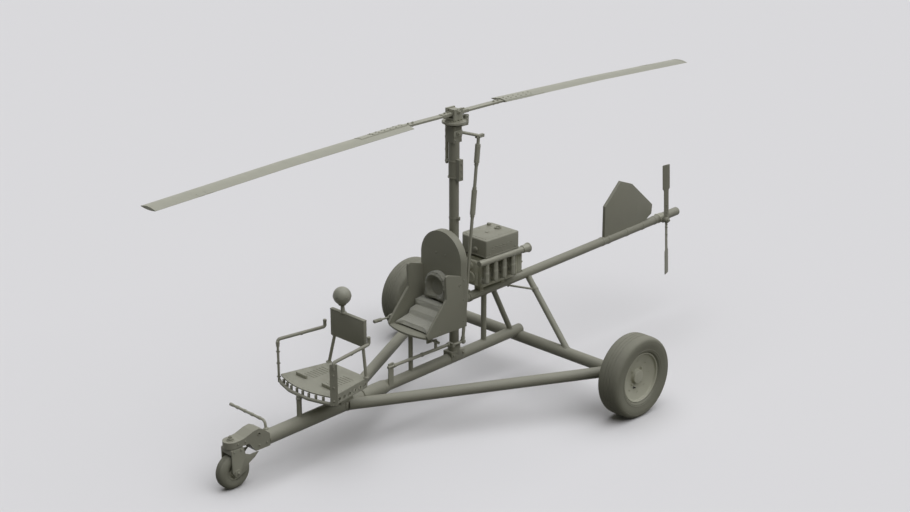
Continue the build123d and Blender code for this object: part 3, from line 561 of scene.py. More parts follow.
NOSE_TYRE_R = 0.142
NOSE_HUB = Vector((2.386, 0, NOSE_TYRE_R))
fork = softened("nose_fork", 0.0022)
bolted_each_side(fork, 0.0735, [(NOSE_HUB.x, NOSE_HUB.z)], 0.017)
bolted_each_side(fork, 0.0655, [(2.345, 0.322), (2.412, 0.322)], 0.011)
bolted(fork, (KING_PIN_X, 0, 0.4135), UP, 0.026)
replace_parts(fitted("nose_fork_plates", fork, "nose_fork", tube_paint), "nose_fork")

# columns: radius, offset along the axle, corner rounding; half of the outline
NOSE_TYRE_SIDE = [(0.0623, 0.0335, 0), (0.0800, 0.0460, 0.006), (0.0960, 0.0497, 0.008),
                  (0.1130, 0.0490, 0.008), (0.1330, 0.0385, 0.008), (0.1405, 0.0245, 0.004)]
half_nose = rounded_profile(NOSE_TYRE_SIDE) + [(NOSE_TYRE_R, 0.0185)]
nose_tread = grooved(NOSE_TYRE_R, (0.0125, 0.0, -0.0125), 0.0030, 0.0021, 0.0012)
nose_tyre = bmesh.new()
turned(nose_tyre, half_nose + nose_tread + mirrored(half_nose), NOSE_HUB, TO_PORT, 96, closed=True)
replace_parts(fitted("nose_wheel_tyre", nose_tyre, "nose_wheel", rubber, 32), "nose_tyre")
# columns: radius, offset along the axle, corner rounding; half of the outline
NOSE_RIM_SIDE = [(0.0091, 0.046, 0), (0.0235, 0.046, 0.002), (0.0255, 0.016, 0.004), (0.0480, 0.010, 0.004),
                 (0.0530, 0.030, 0.004), (0.0575, 0.0335, 0.002), (0.0650, 0.0345, 0.002),
                 (0.0650, 0.0325, 0), (0.0605, 0.0250, 0.003)]
nose_rim_outline = rounded_profile(NOSE_RIM_SIDE + mirrored(NOSE_RIM_SIDE))
nose_rim = bmesh.new()
turned(nose_rim, nose_rim_outline, NOSE_HUB, TO_PORT, 72, closed=True)
for c, s in round_about(5):
    for side in (1, -1):
        bolted(nose_rim, NOSE_HUB + Vector((0.037 * c, side * 0.0130, 0.037 * s)), (0, side, 0), 0.008)
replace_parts(fitted("nose_wheel_rim", nose_rim, "nose_wheel", alloy, 34), "nose_rim")


# ---- Mast and its brackets ----
# One straight tube of painted steel stands on a saddle bolted over the keel. Clamps hold the tail boom and
# the seat to it, and a sleeve thickens it under the rotor head.
mast_paint = coat_of("mast paint", (0.268, 0.263, 0.194), 0.44, (0.330, 0.324, 0.244), patch=0.4)
wear_on(mast_paint, "mast")
clamps = softened("mast_brackets", 0.002)
# the saddle on the keel, the boom's clamp and the two seat clamps
SEAT_CLAMPS_Z = (1.030, 1.330)
bolted_each_side(clamps, 0.050, [(-0.058, 0.400), (0.058, 0.400)], 0.014)
bolted_each_side(clamps, 0.055, [(x, z) for x in (-0.055, 0.036) for z in (0.818, 0.890)], 0.013)
bolted_each_side(clamps, 0.034, [(0.060, z) for z in SEAT_CLAMPS_Z], 0.012)
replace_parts(fitted("mast_clamps", clamps, "frame", tube_paint), "mast_brackets")


def edges_at(corners):
    """Every edge that meets one of the corners, once and in a settled order."""
    return list(dict.fromkeys(e for v in corners for e in v.link_edges))


def rounded_box(bm, low, high, roll=0.004, segments=3):
    """A box with its edges rolled over."""
    low, high = Vector(low), Vector(high)
    made = bmesh.ops.create_cube(bm, size=1.0, matrix=Matrix.Translation((low + high) / 2)
                                 @ Matrix.Diagonal((*(high - low), 1)))
    rolled_over(bm, edges_at(made["verts"]), roll, segments)


def collar(bm, bore, outer, half_long, chamfer, at, direction, steps=32):
    """A plain ring round a tube, with its two outer edges chamfered."""
    turned(bm, [(bore, -half_long), (outer, chamfer - half_long), (outer, half_long - chamfer),
                (bore, half_long)], at, direction, steps, closed=True)


SLEEVE_R = 0.0462
mast_trim = bmesh.new()
turned(mast_trim, [(SLEEVE_R, 0.0), (0.0520, 0.001), (0.0520, 0.011), (SLEEVE_R, 0.012)], (0, 0, 1.958), UP,
       48, closed=True)
# columns: height, tube radius there
for z, r in ((1.612, 0.0412), (2.100, SLEEVE_R)):
    collar(mast_trim, r, r + 0.0024, 0.007, 0.001, (0, 0, z), UP, 48)
# the upper band's small lug, where the rod's guide cable is tied
rounded_box(mast_trim, (-0.009, 0.038, 1.598), (0.009, 0.066, 1.628), 0.003)
bolted(mast_trim, (0.009, 0.054, 1.613), AHEAD, 0.009)
for z in (1.975, 2.03, 2.085):
    bolted(mast_trim, (0.0, 0.0838, z), TO_PORT, 0.009)
fitted("mast_trim", mast_trim, "frame", mast_paint)


# ---- Tail boom, engine posts and boom braces ----
# The boom is one drawn steel tube from the mast clamp to the tail. Two posts carry it over the keel, and one
# long brace runs down to the cross axle on the port side, with a thin tie back up to the boom.
BOOM_NOSE = Vector((0.062, 0, 0.853))
BOOM_TAIL = Vector((-3.003, 0, 0.968))
BOOM = (BOOM_NOSE, BOOM_TAIL)
BOOM_R = 0.040
BOOM_BORE = 0.0402
POST_R = 0.024
BOOM_BRACE_R = 0.027
boom_axis = (BOOM_TAIL - BOOM_NOSE).normalized()


def boom_at(x):
    """A point on the boom's centre line."""
    return BOOM_NOSE.lerp(BOOM_TAIL, (BOOM_NOSE.x - x) / (BOOM_NOSE.x - BOOM_TAIL.x))


wear_on(tube_paint, "tail_boom", "engine_posts", "boom_braces")
joints = bmesh.new()
# columns: place on the boom, place on the keel
for x_boom, x_keel in ((-0.360, -0.360), (-0.462, -0.712)):
    post = (keel_at(x_keel), boom_at(x_boom))
    weld_round(joints, KEEL, KEEL_REAR_R, post[::-1], POST_R, 0.0038)
    weld_round(joints, BOOM, BOOM_R, post, POST_R, 0.0038)
brace_low = Vector((AXLE_X, 0.607, AXLE_Z))
brace_top = boom_at(-0.904) + Vector((0, 0.014, -0.032))
weld_round(joints, AXLE, AXLE_R, (brace_top, brace_low), BOOM_BRACE_R, 0.0042)
weld_round(joints, BOOM, BOOM_R, (brace_low, brace_top), BOOM_BRACE_R, 0.0042)
tie_top = boom_at(-0.640) + Vector((0, 0.010, -0.034))
tie_foot = brace_top.lerp(brace_low, 0.17)
collar(joints, 0.0272, 0.0295, 0.014, 0.002, tie_foot, brace_low - brace_top)
turned(joints, [(0.0092, 0.0), (0.0160, 0.0), (0.0150, 0.0060), (0.0092, 0.0090)],
       tie_top.lerp(tie_foot, 0.03), tie_foot - tie_top, 24, closed=True)
turned(joints, [(0.0385, 0.0), (0.0385, 0.004), (0.033, 0.008), (0.016, 0.0095), (0.003, 0.010)], BOOM_TAIL,
       boom_axis, 32)
for x in (-1.905, -2.660):
    collar(joints, BOOM_BORE, 0.0424, 0.011, 0.002, boom_at(x), boom_axis, 40)
# a split clamp in front of the engine, with its pinch bolt on top
collar(joints, BOOM_BORE, 0.0450, 0.015, 0.002, boom_at(-0.175), boom_axis, 48)
rounded_box(joints, (-0.188, -0.011, 0.900), (-0.162, 0.011, 0.922), 0.003)
bolted(joints, (-0.175, 0.011, 0.913), TO_PORT, 0.011)
fitted("boom_joints", joints, "frame", tube_paint, 60)


# ---- Engine ----
# A flat-top four-cylinder block stands over the boom with a sheet cowl on top. Cooling fins run along the
# block, a belt cover closes its front, and its starter and carburettor sit at the back in a cast housing.
# the cast grey is lighter than the bare casting: painted light that makes up for the shade the cowl and the
# pipes throw on the block. The rear housing and the tail gearbox wear the same lightened grey.
cast = coat_of("sand-cast grey lightened as painted light", (0.463, 0.458, 0.339), 0.62, (0.514, 0.502, 0.376), depth=0.2, patch=0.08,
               wear=0.4, wear_width=0.003, dust=0.45, skin=0.0022, skin_depth=0.0006)
cowl_paint = coat_of("cowl paint", (0.284, 0.279, 0.207), 0.40, (0.348, 0.342, 0.259), patch=0.18, wear=0.6,
                     wear_width=0.003, dust=0.35)
steel = coat_of("dull plated steel", (0.320, 0.316, 0.238), 0.36, (0.395, 0.389, 0.297), metal=0.15,
                depth=0.12, patch=0.06, wear=0.4, wear_width=0.0015, dust=0.2, skin=0.0012, skin_depth=0.0001)

BLOCK_LOW = Vector((-0.620, -0.105, 0.952))
BLOCK_HIGH = Vector((-0.222, 0.105, 1.216))
engine = bmesh.new()
rounded_box(engine, BLOCK_LOW, BLOCK_HIGH - Vector((0, 0, 0.062)), 0.010)
rounded_box(engine, (-0.612, -0.098, 1.150), (-0.230, 0.098, BLOCK_HIGH.z), 0.007)
# cylinder banks: fins along each side between the crankcase and the head
for side in (1, -1):
    for k in range(7):
        z = 1.060 + 0.0145 * k
        rounded_box(engine, (-0.606, side * 0.086, z), (-0.236, side * 0.1145, z + 0.0055), 0.0018, 2)
    rounded_box(engine, (-0.600, side * 0.1005, 0.992), (-0.240, side * 0.1105, 1.046), 0.004)
bolted_each_side(engine, 0.1045, [(x, 0.976) for x in (-0.289, -0.395, -0.501)], 0.013)
bolted_each_side(engine, 0.0975, [(-0.585 + 0.066 * k, 1.187) for k in range(6)], 0.010)
# the flat under the cowl and the two feet on the boom
FOOT_X = (-0.300, -0.560)
FOOT_HALF_W = 0.034
rounded_box(engine, (-0.560, -0.070, 1.210), (-0.280, 0.070, 1.2345), 0.004)
for x in FOOT_X:
    rounded_box(engine, (x - 0.022, -FOOT_HALF_W, 0.884), (x + 0.022, FOOT_HALF_W, 0.956), 0.003)
bolted_each_side(engine, FOOT_HALF_W, [(x, 0.928) for x in FOOT_X], 0.013)
# front belt cover with its pulley boss and rim bolts
COVER_X = -0.1965
rounded_box(engine, (-0.226, -0.072, 0.968), (-0.196, 0.072, 1.190), 0.009)
turned(engine, [(0.050, 0.0), (0.050, 0.006), (0.046, 0.010), (0.030, 0.011), (0.027, 0.008), (0.004, 0.008)],
       (COVER_X, 0, 1.038), AHEAD, 48)
turned(engine, [(0.034, 0.0), (0.034, 0.005), (0.030, 0.008), (0.016, 0.009)], (COVER_X, 0, 1.136), AHEAD, 40)
for y in (-0.060, 0.060):
    for z in (0.982, 1.079, 1.176):
        bolted(engine, (COVER_X, y, z), AHEAD, 0.009)
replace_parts(fitted("engine_block_finned", engine, "frame", cast), "engine_block")

# rear housing: bell with ribs, a carburettor throat and its flange
HOUSING_BACK_X = -0.724
housing = bmesh.new()
rounded_box(housing, (-0.654, -0.118, 0.960), (-0.6195, 0.118, 1.168), 0.020, 4)
rounded_box(housing, (HOUSING_BACK_X, -0.111, 0.967), (-0.648, 0.111, 1.161), 0.018, 4)
for k in range(5):
    z = 0.996 + 0.034 * k
    rounded_box(housing, (-0.7285, -0.094, z), (-0.718, 0.094, z + 0.006), 0.002, 2)
for y in (-0.100, 0.100):
    for z in (0.980, 1.064, 1.148):
        bolted(housing, (HOUSING_BACK_X, y, z), ASTERN, 0.010)
turned(housing, [(0.034, 0.0), (0.034, 0.007), (0.026, 0.009), (0.026, 0.0095), (0.022, 0.010),
                 (0.020, 0.004), (0.004, 0.003)], (HOUSING_BACK_X, 0, 1.064), ASTERN, 40)
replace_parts(fitted("engine_rear_housing", housing, "frame", cast), "rear_housing")


def slab(bm, outline, rise):
    """A flat outline carried along by a rise, with both its faces."""
    low = [bm.verts.new(corner) for corner in outline]
    high = [bm.verts.new(Vector(corner) + Vector(rise)) for corner in outline]
    bm.faces.new(low)
    bm.faces.new(high)
    skin_between(bm, low, high)
    return low + high


# cowl: pressed sheet box with a rolled rim, a seam, quarter-turn studs and the filler neck on top
COWL_HALF_W = 0.162
COWL_NOSE_X = -0.218
COWL_BACK_X = -0.618
cowl = bmesh.new()
# columns: how far it stands out, lowest and highest z, rolled edge
for out, low_z, high_z, roll in ((0.0, 1.234, 1.386, 0.012), (0.0015, 1.234, 1.246, 0.0035),
                                 (-0.028, 1.3835, 1.3885, 0.0022)):
    plan = [(COWL_BACK_X - out, -COWL_HALF_W - out), (-0.262, -COWL_HALF_W - out),
            (COWL_NOSE_X + out, -0.118), (COWL_NOSE_X + out, COWL_HALF_W + out),
            (COWL_BACK_X - out, COWL_HALF_W + out)]
    corners = slab(cowl, [(x, y, low_z) for x, y in plan], (0, 0, high_z - low_z))
    rolled_over(cowl, edges_at(corners), roll, 4)
turned(cowl, [(0.021, -0.004), (0.021, 0.010), (0.018, 0.014), (0.012, 0.0155), (0.004, 0.016)],
       (COWL_NOSE_X, 0.042, 1.290), AHEAD, 36)
turned(cowl, [(0.030, 0.0), (0.030, 0.010), (0.028, 0.0140), (0.0235, 0.0148), (0.0215, 0.013),
              (0.021, 0.004), (0.004, 0.004)], (-0.529, 0, 1.3862), UP, 40)
turned(cowl, [(0.018, 0.0), (0.018, 0.015), (0.0155, 0.0205), (0.004, 0.0220)], (-0.540, -0.118, 1.3858), UP,
       32)
turned(cowl, [(0.019, 0.0), (0.019, 0.004), (0.015, 0.0055), (0.004, 0.006)], (-0.395, 0.0, 1.3880), UP, 32)
for side in (1, -1):
    for x in (-0.570, -0.418, -0.266):
        turned(cowl, [(0.0095, -0.001), (0.0095, 0.0012), (0.007, 0.0026), (0.002, 0.0028)],
               (x, side * COWL_HALF_W, 1.262), (0, side, 0), 20)
        turned(cowl, [(0.0075, -0.001), (0.0075, 0.0010), (0.005, 0.0020), (0.002, 0.0021)],
               (x, side * 0.118, 1.3885), UP, 20)
    # pressed louvres low on each side
    for k in range(6):
        x = -0.540 + 0.045 * k
        rounded_box(cowl, (x, side * 0.1605, 1.292), (x + 0.030, side * 0.1650, 1.2975), 0.0018, 2)
        rounded_box(cowl, (x, side * 0.1605, 1.312), (x + 0.030, side * 0.1650, 1.3175), 0.0018, 2)
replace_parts(fitted("engine_cowl_sheet", cowl, "frame", cowl_paint), "engine_cowl")


# ---- Exhausts ----
# Four short pipes of dull steel on each side rise from the ports into a collector tube that ends in a wider
# tail. Each pipe has a flange at its port, a slip joint with a spring clip half way up, and a weld at the
# collector.
wear_on(steel, "exhausts")
pipes = bmesh.new()
soot_and_bore_shade = bmesh.new()
COLLECTOR_R = 0.028
PIPE_R = 0.022
PIPE_BORE = 0.0222
COLLECTOR_BORE = 0.0282
TAIL_PIPE_R = 0.0345
PIPE_Y = 0.150
PORT_Z = 1.020
tube_run = Vector((-0.518, 0, 0))
for side in (1, -1):
    collector = Vector((-0.150, side * 0.156, 1.203))
    for x in (-0.236, -0.342, -0.448, -0.554):
        turned(pipes, [(PIPE_BORE, -0.005), (0.033, -0.005), (0.033, 0.002), (0.031, 0.004),
                       (PIPE_BORE, 0.004)], (x, side * 0.1105, PORT_Z), (0, side, 0), 28, closed=True)
        for dz in (-0.0270, 0.0270):
            bolted(pipes, (x, side * 0.1145, PORT_Z + dz), (0, side, 0), 0.008, washer=False)
        turned(pipes, [(PIPE_BORE, -0.013), (0.0246, -0.012), (0.0246, 0.006), (0.0234, 0.009),
                       (PIPE_BORE, 0.010)], (x, side * PIPE_Y, 1.095), UP, 28, closed=True)
        collar(pipes, PIPE_BORE, 0.0240, 0.003, 0.001, (x, side * PIPE_Y, 1.140), UP, 28)
        weld_round(pipes, (collector, collector + tube_run), COLLECTOR_R,
                   ((x, side * PIPE_Y, 1.0), (x, side * PIPE_Y, 1.2)), PIPE_R, 0.0028, 48)
    turned(pipes, [(COLLECTOR_BORE, 0.0), (COLLECTOR_BORE, 0.004), (0.024, 0.009), (0.006, 0.011)],
           collector, AHEAD, 32)
    turned(pipes, [(COLLECTOR_BORE, -0.006), (0.0325, -0.005), (TAIL_PIPE_R, 0.000), (TAIL_PIPE_R, 0.006),
                   (0.0290, 0.007)], collector + tube_run, ASTERN, 40, closed=True)
    outlet = collector + Vector((-0.588, 0, 0))
    turned(pipes, [(0.0385, -0.006), (0.0425, -0.004), (0.0425, 0.006), (0.0385, 0.008), (TAIL_PIPE_R, 0.007),
                   (TAIL_PIPE_R, -0.002)], outlet, ASTERN, 40, closed=True)
    # a thin dark disc closes each tail pipe's mouth: soot, and painted shade that stands in for the open bore
    # behind it
    turned(soot_and_bore_shade, [(0.0348, -0.001), (0.0348, 0.0006), (0.030, 0.0008)], outlet, ASTERN, 40)
fitted("exhaust_fittings", pipes, "frame", steel)
# the soot colour is also painted shade for the pipe bores
soot_and_bore_shade_coat = coat_of("exhaust soot with painted bore shade", (0.030, 0.029, 0.027), 0.85, (0.05, 0.05, 0.045), depth=0.3, patch=0.02,
                    wear=0.0, dust=0.0)
fitted("exhaust_mouths", soot_and_bore_shade, "frame", soot_and_bore_shade_coat)


# ---- Seat ----
# A moulded shell with a tall round-topped back and low side walls that sweep down to the pan. The cushion and
# the lumbar pad are foam in woven covers, blown up a little as cloth and piped along their seams.
seat_skin = coat_of("moulded seat shell", (0.255, 0.251, 0.185), 0.52, (0.288, 0.281, 0.210), metal=None,
                    depth=0.12, patch=0.3, wear=0.3, wear_width=0.005, skin=0.0011, skin_depth=0.00022)
SHELL_HALF_W = 0.235
shell = softened("seat_shell", 0.0045, 3)
for side in (1, -1):
    for x, z in ((0.120, 0.790), (0.120, 0.980), (0.120, 1.150), (0.400, 0.770)):
        turned(shell, [(0.0085, -0.001), (0.0085, 0.0012), (0.006, 0.0028), (0.002, 0.0032)],
               (x, side * SHELL_HALF_W, z), (0, side, 0), 20)
# screws into the seat clamps, further apart on the lower one
for z, y in zip(SEAT_CLAMPS_Z, (0.1815, 0.055)):
    for side in (-1, 1):
        turned(shell, [(0.010, -0.001), (0.010, 0.0012), (0.007, 0.0030), (0.002, 0.0034)],
               (0.1552, side * y, z), AHEAD, 20)
turned(shell, [(0.0080, 0.0), (0.0150, 0.0), (0.0145, 0.0026), (0.0086, 0.0030)],
       (0.167, SHELL_HALF_W, 1.117), TO_PORT, 28, closed=True)
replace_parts(fitted("seat_shell_moulded", shell, "frame", seat_skin), "seat_shell")


THREAD_RATE = 1900.0  # radians of weave to the metre, about 3.3 mm for an over and an under


def weave_height(tree):
    """A plain weave: threads that pass over and under each other, from the place on the cover."""
    at = node_in(tree, "SeparateXYZ", {0: node_in(tree, "TexCoord").outputs["Object"]}).outputs
    waves = []
    for along in (worked_out(tree, "ADD", at["X"], at["Z"]), at["Y"]):
        waves.append(worked_out(tree, "SINE", worked_out(tree, "MULTIPLY", along, THREAD_RATE)))
    return worked_out(tree, "MULTIPLY", *waves)


def woven(name, colour, thread):
    """A woven cover: dull threads with a soft sheen and no bare metal under them."""
    cloth = coat_of(name, colour, 0.86, thread, metal=None, depth=0.16, patch=0.07, wear=0.25,
                    wear_width=0.006, dust=0.2, skin_depth=0.0006, height=weave_height)
    cloth.node_tree.nodes["Principled BSDF"].inputs["Sheen Weight"].default_value = 0.35
    return cloth


cushion_cover = woven("woven cushion cover", (0.420, 0.415, 0.318), (0.450, 0.443, 0.342))
pad_cover = woven("woven pad cover", (0.316, 0.312, 0.233), (0.339, 0.333, 0.252))


def plumped(node, voxel, cap, pressure):
    """Foam in a cover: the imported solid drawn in, remeshed, blown up as cloth and held to a limit."""
    source = solid[node].data.copy()
    pad = bpy.data.objects.new(node + "_pad", source)
    bpy.context.scene.collection.objects.link(pad)
    low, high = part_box(node)
    middle = (low + high) / 2
    for v in pad.data.vertices:
        v.co = middle + (v.co - middle) * Vector([1 - 2 * min(0.010, 0.11 * s) / s for s in high - low])
    remesh = pad.modifiers.new("even mesh", "REMESH")
    remesh.mode = "VOXEL"
    remesh.voxel_size = voxel
    bpy.context.view_layer.update()
    even = bpy.data.meshes.new_from_object(pad.evaluated_get(bpy.context.evaluated_depsgraph_get()))
    pad.modifiers.clear()
    pad.data = even
    rest = [v.co.copy() for v in even.vertices]
    cloth = pad.modifiers.new("blown up", "CLOTH")
    cloth.settings.use_pressure = True
    cloth.settings.uniform_pressure_force = pressure
    cloth.settings.effector_weights.gravity = 0
    cloth.settings.quality = 5
    for step in range(1, 21):
        bpy.context.scene.frame_set(step)
    blown = pad.evaluated_get(bpy.context.evaluated_depsgraph_get()).data
    swollen = [v.co.copy() for v in blown.vertices]
    pad.modifiers.clear()
    bpy.context.scene.frame_set(1)
    for v, was, now in zip(even.vertices, rest, swollen):
        move = now - was
        if move.length > cap:
            move = move.normalized() * cap
        v.co = was + move
        for axis in range(3):
            v.co[axis] = min(max(v.co[axis], low[axis]), high[axis])
    bm = bmesh.new()
    bm.from_mesh(even)
    bpy.data.objects.remove(pad)
    return bm


PIPING_R = 0.0034


def piped(bm, points):
    """A closed run of piping: a thin round cord sewn along a seam."""
    loops = []
    n = len(points)
    for k, p in enumerate(points):
        along = (Vector(points[(k + 1) % n]) - Vector(points[k - 1])).normalized()
        u, v = across(along)
        loops.append(ring_of(bm, p, u, v, PIPING_R, 8))
    for k in range(n):
        skin_between(bm, loops[k], loops[(k + 1) % n])


def seam_on(bm, trace):
    """Lifts a traced line on to the nearest points of a pad, so its piping lies on the cover."""
    tree = BVHTree.FromBMesh(bm)
    return [tree.find_nearest(Vector(p))[0] for p in trace]


def traced(corners, pieces=None):
    """Points spread evenly along the runs of a closed line: so many to a run, or one about every 20 mm."""
    out = []
    for one, two in zip(map(Vector, corners), map(Vector, corners[1:] + corners[:1])):
        parts = pieces or max(1, round((two - one).length / 0.02))
        out += [one.lerp(two, j / parts) for j in range(parts)]
    return out


cushion = plumped("seat_cushion", 0.0055, 0.014, 3.5)
# two squared seams, both laid on to the plain cushion before they are piped
# columns: x and height of a seam's rear edge, then of its front edge
seams = []
for x_rear, z_rear, x_front, z_front in ((0.160, 0.925, 0.262, 0.912), (0.345, 0.790, 0.500, 0.768)):
    corners = [(x_rear, -0.205, z_rear), (x_rear, 0.205, z_rear), (x_front, 0.205, z_front),
               (x_front, -0.205, z_front)]
    seams.append(seam_on(cushion, traced(corners, 10)))
for seam in seams:
    piped(cushion, seam)
cushion_piece = fitted("seat_cushion_foam", cushion, "frame", cushion_cover, 70)
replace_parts(cushion_piece, "seat_cushion")

lumbar = plumped("lumbar_pad", 0.005, 0.012, 4.0)
# its face is a scooped hollow inside a fat rolled rim
for v in lumbar.verts:
    across_pad = v.co.y / 0.108
    up_pad = (v.co.z - 1.052) / 0.108
    reach = max(0.0, 1 - sqrt(across_pad ** 2 + max(abs(up_pad) ** 2.4, 1e-9)))
    v.co.x -= 0.040 * min(1.0, 2.6 * reach) ** 1.5 * min(1.0, max(0.0, (v.co.x - 0.170) / 0.045))
SEAM_X = 0.229
ARCH_R = 0.138
ARCH_Z = 1.060
arch = [(SEAM_X, -ARCH_R, 0.938), (SEAM_X, ARCH_R, 0.938)]
arch += [(SEAM_X, ARCH_R * cos(pi * k / 16), ARCH_Z + ARCH_R * sin(pi * k / 16)) for k in range(17)]
piped(lumbar, seam_on(lumbar, traced(arch)))
lumbar_piece = fitted("lumbar_pad_foam", lumbar, "frame", pad_cover, 70)
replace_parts(lumbar_piece, "lumbar_pad")


# ---- Seat post and hand lever ----
# A plain steel post under the front of the pan, with a foot on the keel. The lever swings over a drilled
# quadrant on the starboard wall; its grip is a ribbed sleeve.
wear_on(tube_paint, "seat_post")
SEAT_POST_X = 0.508
post_trim = bmesh.new()
turned(post_trim, [(0.0192, -0.012), (0.045, -0.012), (0.045, -0.008), (0.0225, -0.003), (0.0192, 0.006)],
       (SEAT_POST_X, 0, 0.7345), UP, 40, closed=True)
weld_round(post_trim, KEEL, KEEL_REAR_R, ((SEAT_POST_X, 0, 0.7), keel_at(SEAT_POST_X)), 0.019, 0.0034)
fitted("seat_post_ends", post_trim, "frame", tube_paint, 60)

LEVER_Y = -0.2565
HANDLE_Y = -0.262
lever = bmesh.new()
rounded_box(lever, (0.430, LEVER_Y, 0.752), (0.510, -0.2348, 0.822), 0.004)
# eyelets of the quadrant
for k in range(5):
    turn = radians(28 * k)
    turned(lever, [(0.0052, -0.0005), (0.0075, -0.0005), (0.0072, 0.0018), (0.0056, 0.0020)],
           (0.492 - 0.036 * sin(turn), LEVER_Y, 0.765 + 0.045 * sin(0.62 * (turn + radians(62)))),
           TO_STARBOARD, 16, closed=True)
turned(lever, [(0.016, -0.0005), (0.016, 0.014), (0.013, 0.019), (0.004, 0.020)], (0.497, LEVER_Y, 0.792),
       TO_STARBOARD, 32)
turned(lever, [(0.0085, 0.0), (0.0085, 0.100), (0.0088, 0.108)], (0.494, HANDLE_Y, 0.7917), (0.1, 0, 0.004),
       20)
GRIP_R = 0.0158
grip = [(0.0090, 0.0), (0.0140, 0.002), (GRIP_R, 0.005)]
for k in range(9):
    rib = 0.0078 * k
    grip += [(GRIP_R, rib + 0.008), (0.0142, rib + 0.0100), (0.0142, rib + 0.0122), (GRIP_R, rib + 0.0142)]
grip += [(GRIP_R, 0.080), (0.0135, 0.0850), (0.006, 0.087)]
turned(lever, grip, (0.589, HANDLE_Y, 0.7955), (0.1, 0, 0.005), 32)
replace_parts(fitted("hand_lever_drilled", lever, "frame", tube_paint), "hand_lever")


# ---- Control run ----
# A steel torque tube lies over the keel on a flat bracket near its front end, with a small mixer under the
# seat. From its rear crank a long push rod climbs to the rotor head; its ends are threaded rod eyes with lock
# nuts.
wear_on(steel, "control_tube", "control_rod", "head_arm")
ROD_LOW = Vector((-0.026, 0.078, 0.520))
ROD_TOP = Vector((-0.205, 0.078, 2.268))
rod_axis = (ROD_TOP - ROD_LOW).normalized()
linkage = bmesh.new()
for share in (0.018, 0.622, 0.758, 0.872):
    at = ROD_LOW.lerp(ROD_TOP, share)
    turned(linkage, [(0.0195, -0.006), (0.0195, 0.006)], at, rod_axis, 6)
    turned(linkage, [(0.0158, -0.011), (0.0158, 0.011)], at, rod_axis, 24)
for share in (0.640, 0.690, 0.740, 0.890, 0.925, 0.960):
    collar(linkage, 0.0230, 0.0246, 0.0022, 0.0012, ROD_LOW.lerp(ROD_TOP, share), rod_axis, 28)
collar(linkage, 0.0180, 0.0205, 0.013, 0.002, ROD_LOW, TO_PORT)
# columns: rod end, half its width
for end, half in ((ROD_LOW, 0.018), (ROD_TOP + Vector((0, 0, 0.012)), 0.013)):
    for side in (1, -1):
        bolted(linkage, end + Vector((0, side * half, 0)), (0, side, 0), 0.012)
for x in (0.118, 0.420, 0.735):
    collar(linkage, 0.0142, 0.0185, 0.010, 0.001, (x, 0.045, 0.520), AHEAD)
turned(linkage, [(0.0138, 0.0), (0.0138, 0.004), (0.011, 0.007), (0.003, 0.008)], (0.800, 0.045, 0.520),
       AHEAD, 28)
bolted(linkage, (0.262, -0.0425, 0.612), TO_STARBOARD, 0.010)
bolted(linkage, (0.262, 0.0530, 0.600), TO_PORT, 0.010)
fitted("control_rod_ends", linkage, "frame", steel)


# ---- Foot tray and hoops ----
# A flat alloy plate with folded, drilled sides, riveted round its edge, with ribbed foot pads on top. A round
# steel tube passes under its nose between two flat posts. Each post carries a guard rail that runs back and
# turns up.
tray_metal = coat_of("tray alloy", (0.321, 0.317, 0.239), 0.45, (0.394, 0.389, 0.298), metal=0.10, depth=0.14,
                     patch=0.15, wear=0.5, wear_width=0.0025, dust=0.45, skin=0.0015, skin_depth=0.00012)
RIVET_HEAD = [(0.0050, -0.0008), (0.0048, 0.0010), (0.0030, 0.0024), (0.001, 0.0027)]
TRAY_REAR_X = 1.192
TRAY_LONG = 0.440
TRAY_TOP_Z = 0.611
WALL_SLOPE = 0.2
tray = softened("foot_tray", 0.0016)
for side in (1, -1):
    for k in range(7):
        x = 1.215 + 0.058 * k
        half_width = 0.224 + 0.089 * (x - TRAY_REAR_X) / TRAY_LONG
        turned(tray, RIVET_HEAD, (x, side * (half_width - 0.016), TRAY_TOP_Z), UP, 14)
    # rims round the lightening holes of the folded side, and rivets between them
    for x in (1.230, 1.295, 1.360, 1.425, 1.490, 1.550):
        wall_y = side * (0.2243 + WALL_SLOPE * (x - TRAY_REAR_X))
        turned(tray, [(0.0152, -0.001), (0.0190, -0.001), (0.0186, 0.0016), (0.0156, 0.0022)],
               (x, wall_y, 0.562), (-WALL_SLOPE, side, 0), 28, closed=True)
        turned(tray, [(0.0044, -0.0008), (0.0042, 0.0008), (0.0026, 0.0020), (0.001, 0.0022)],
               (x, wall_y, 0.591), (-WALL_SLOPE, side, 0), 14)
    # tread strips where the heels rest
    for k in range(7):
        x = 1.300 + 0.030 * k
        rounded_box(tray, (x, side * 0.070, 0.6105), (x + 0.014, side * 0.190, 0.6140), 0.0016, 2)
    # a toe stop for each foot
    rounded_box(tray, (1.540, side * 0.095, 0.6105), (1.560, side * 0.215, 0.640), 0.004)
for k in range(11):
    turn = radians(-66 + 13.2 * k)
    turned(tray, RIVET_HEAD, (1.612 + 0.060 * cos(turn) ** 2, 0.285 * sin(turn), TRAY_TOP_Z), UP, 14)
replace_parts(fitted("foot_tray_riveted", tray, "frame", tray_metal), "foot_tray")
wear_on(tube_paint, "hoop_frame", "panel_legs")
TRAY_POST_X = 1.712
TRAY_POST_R = 0.021
hoop_trim = bmesh.new()
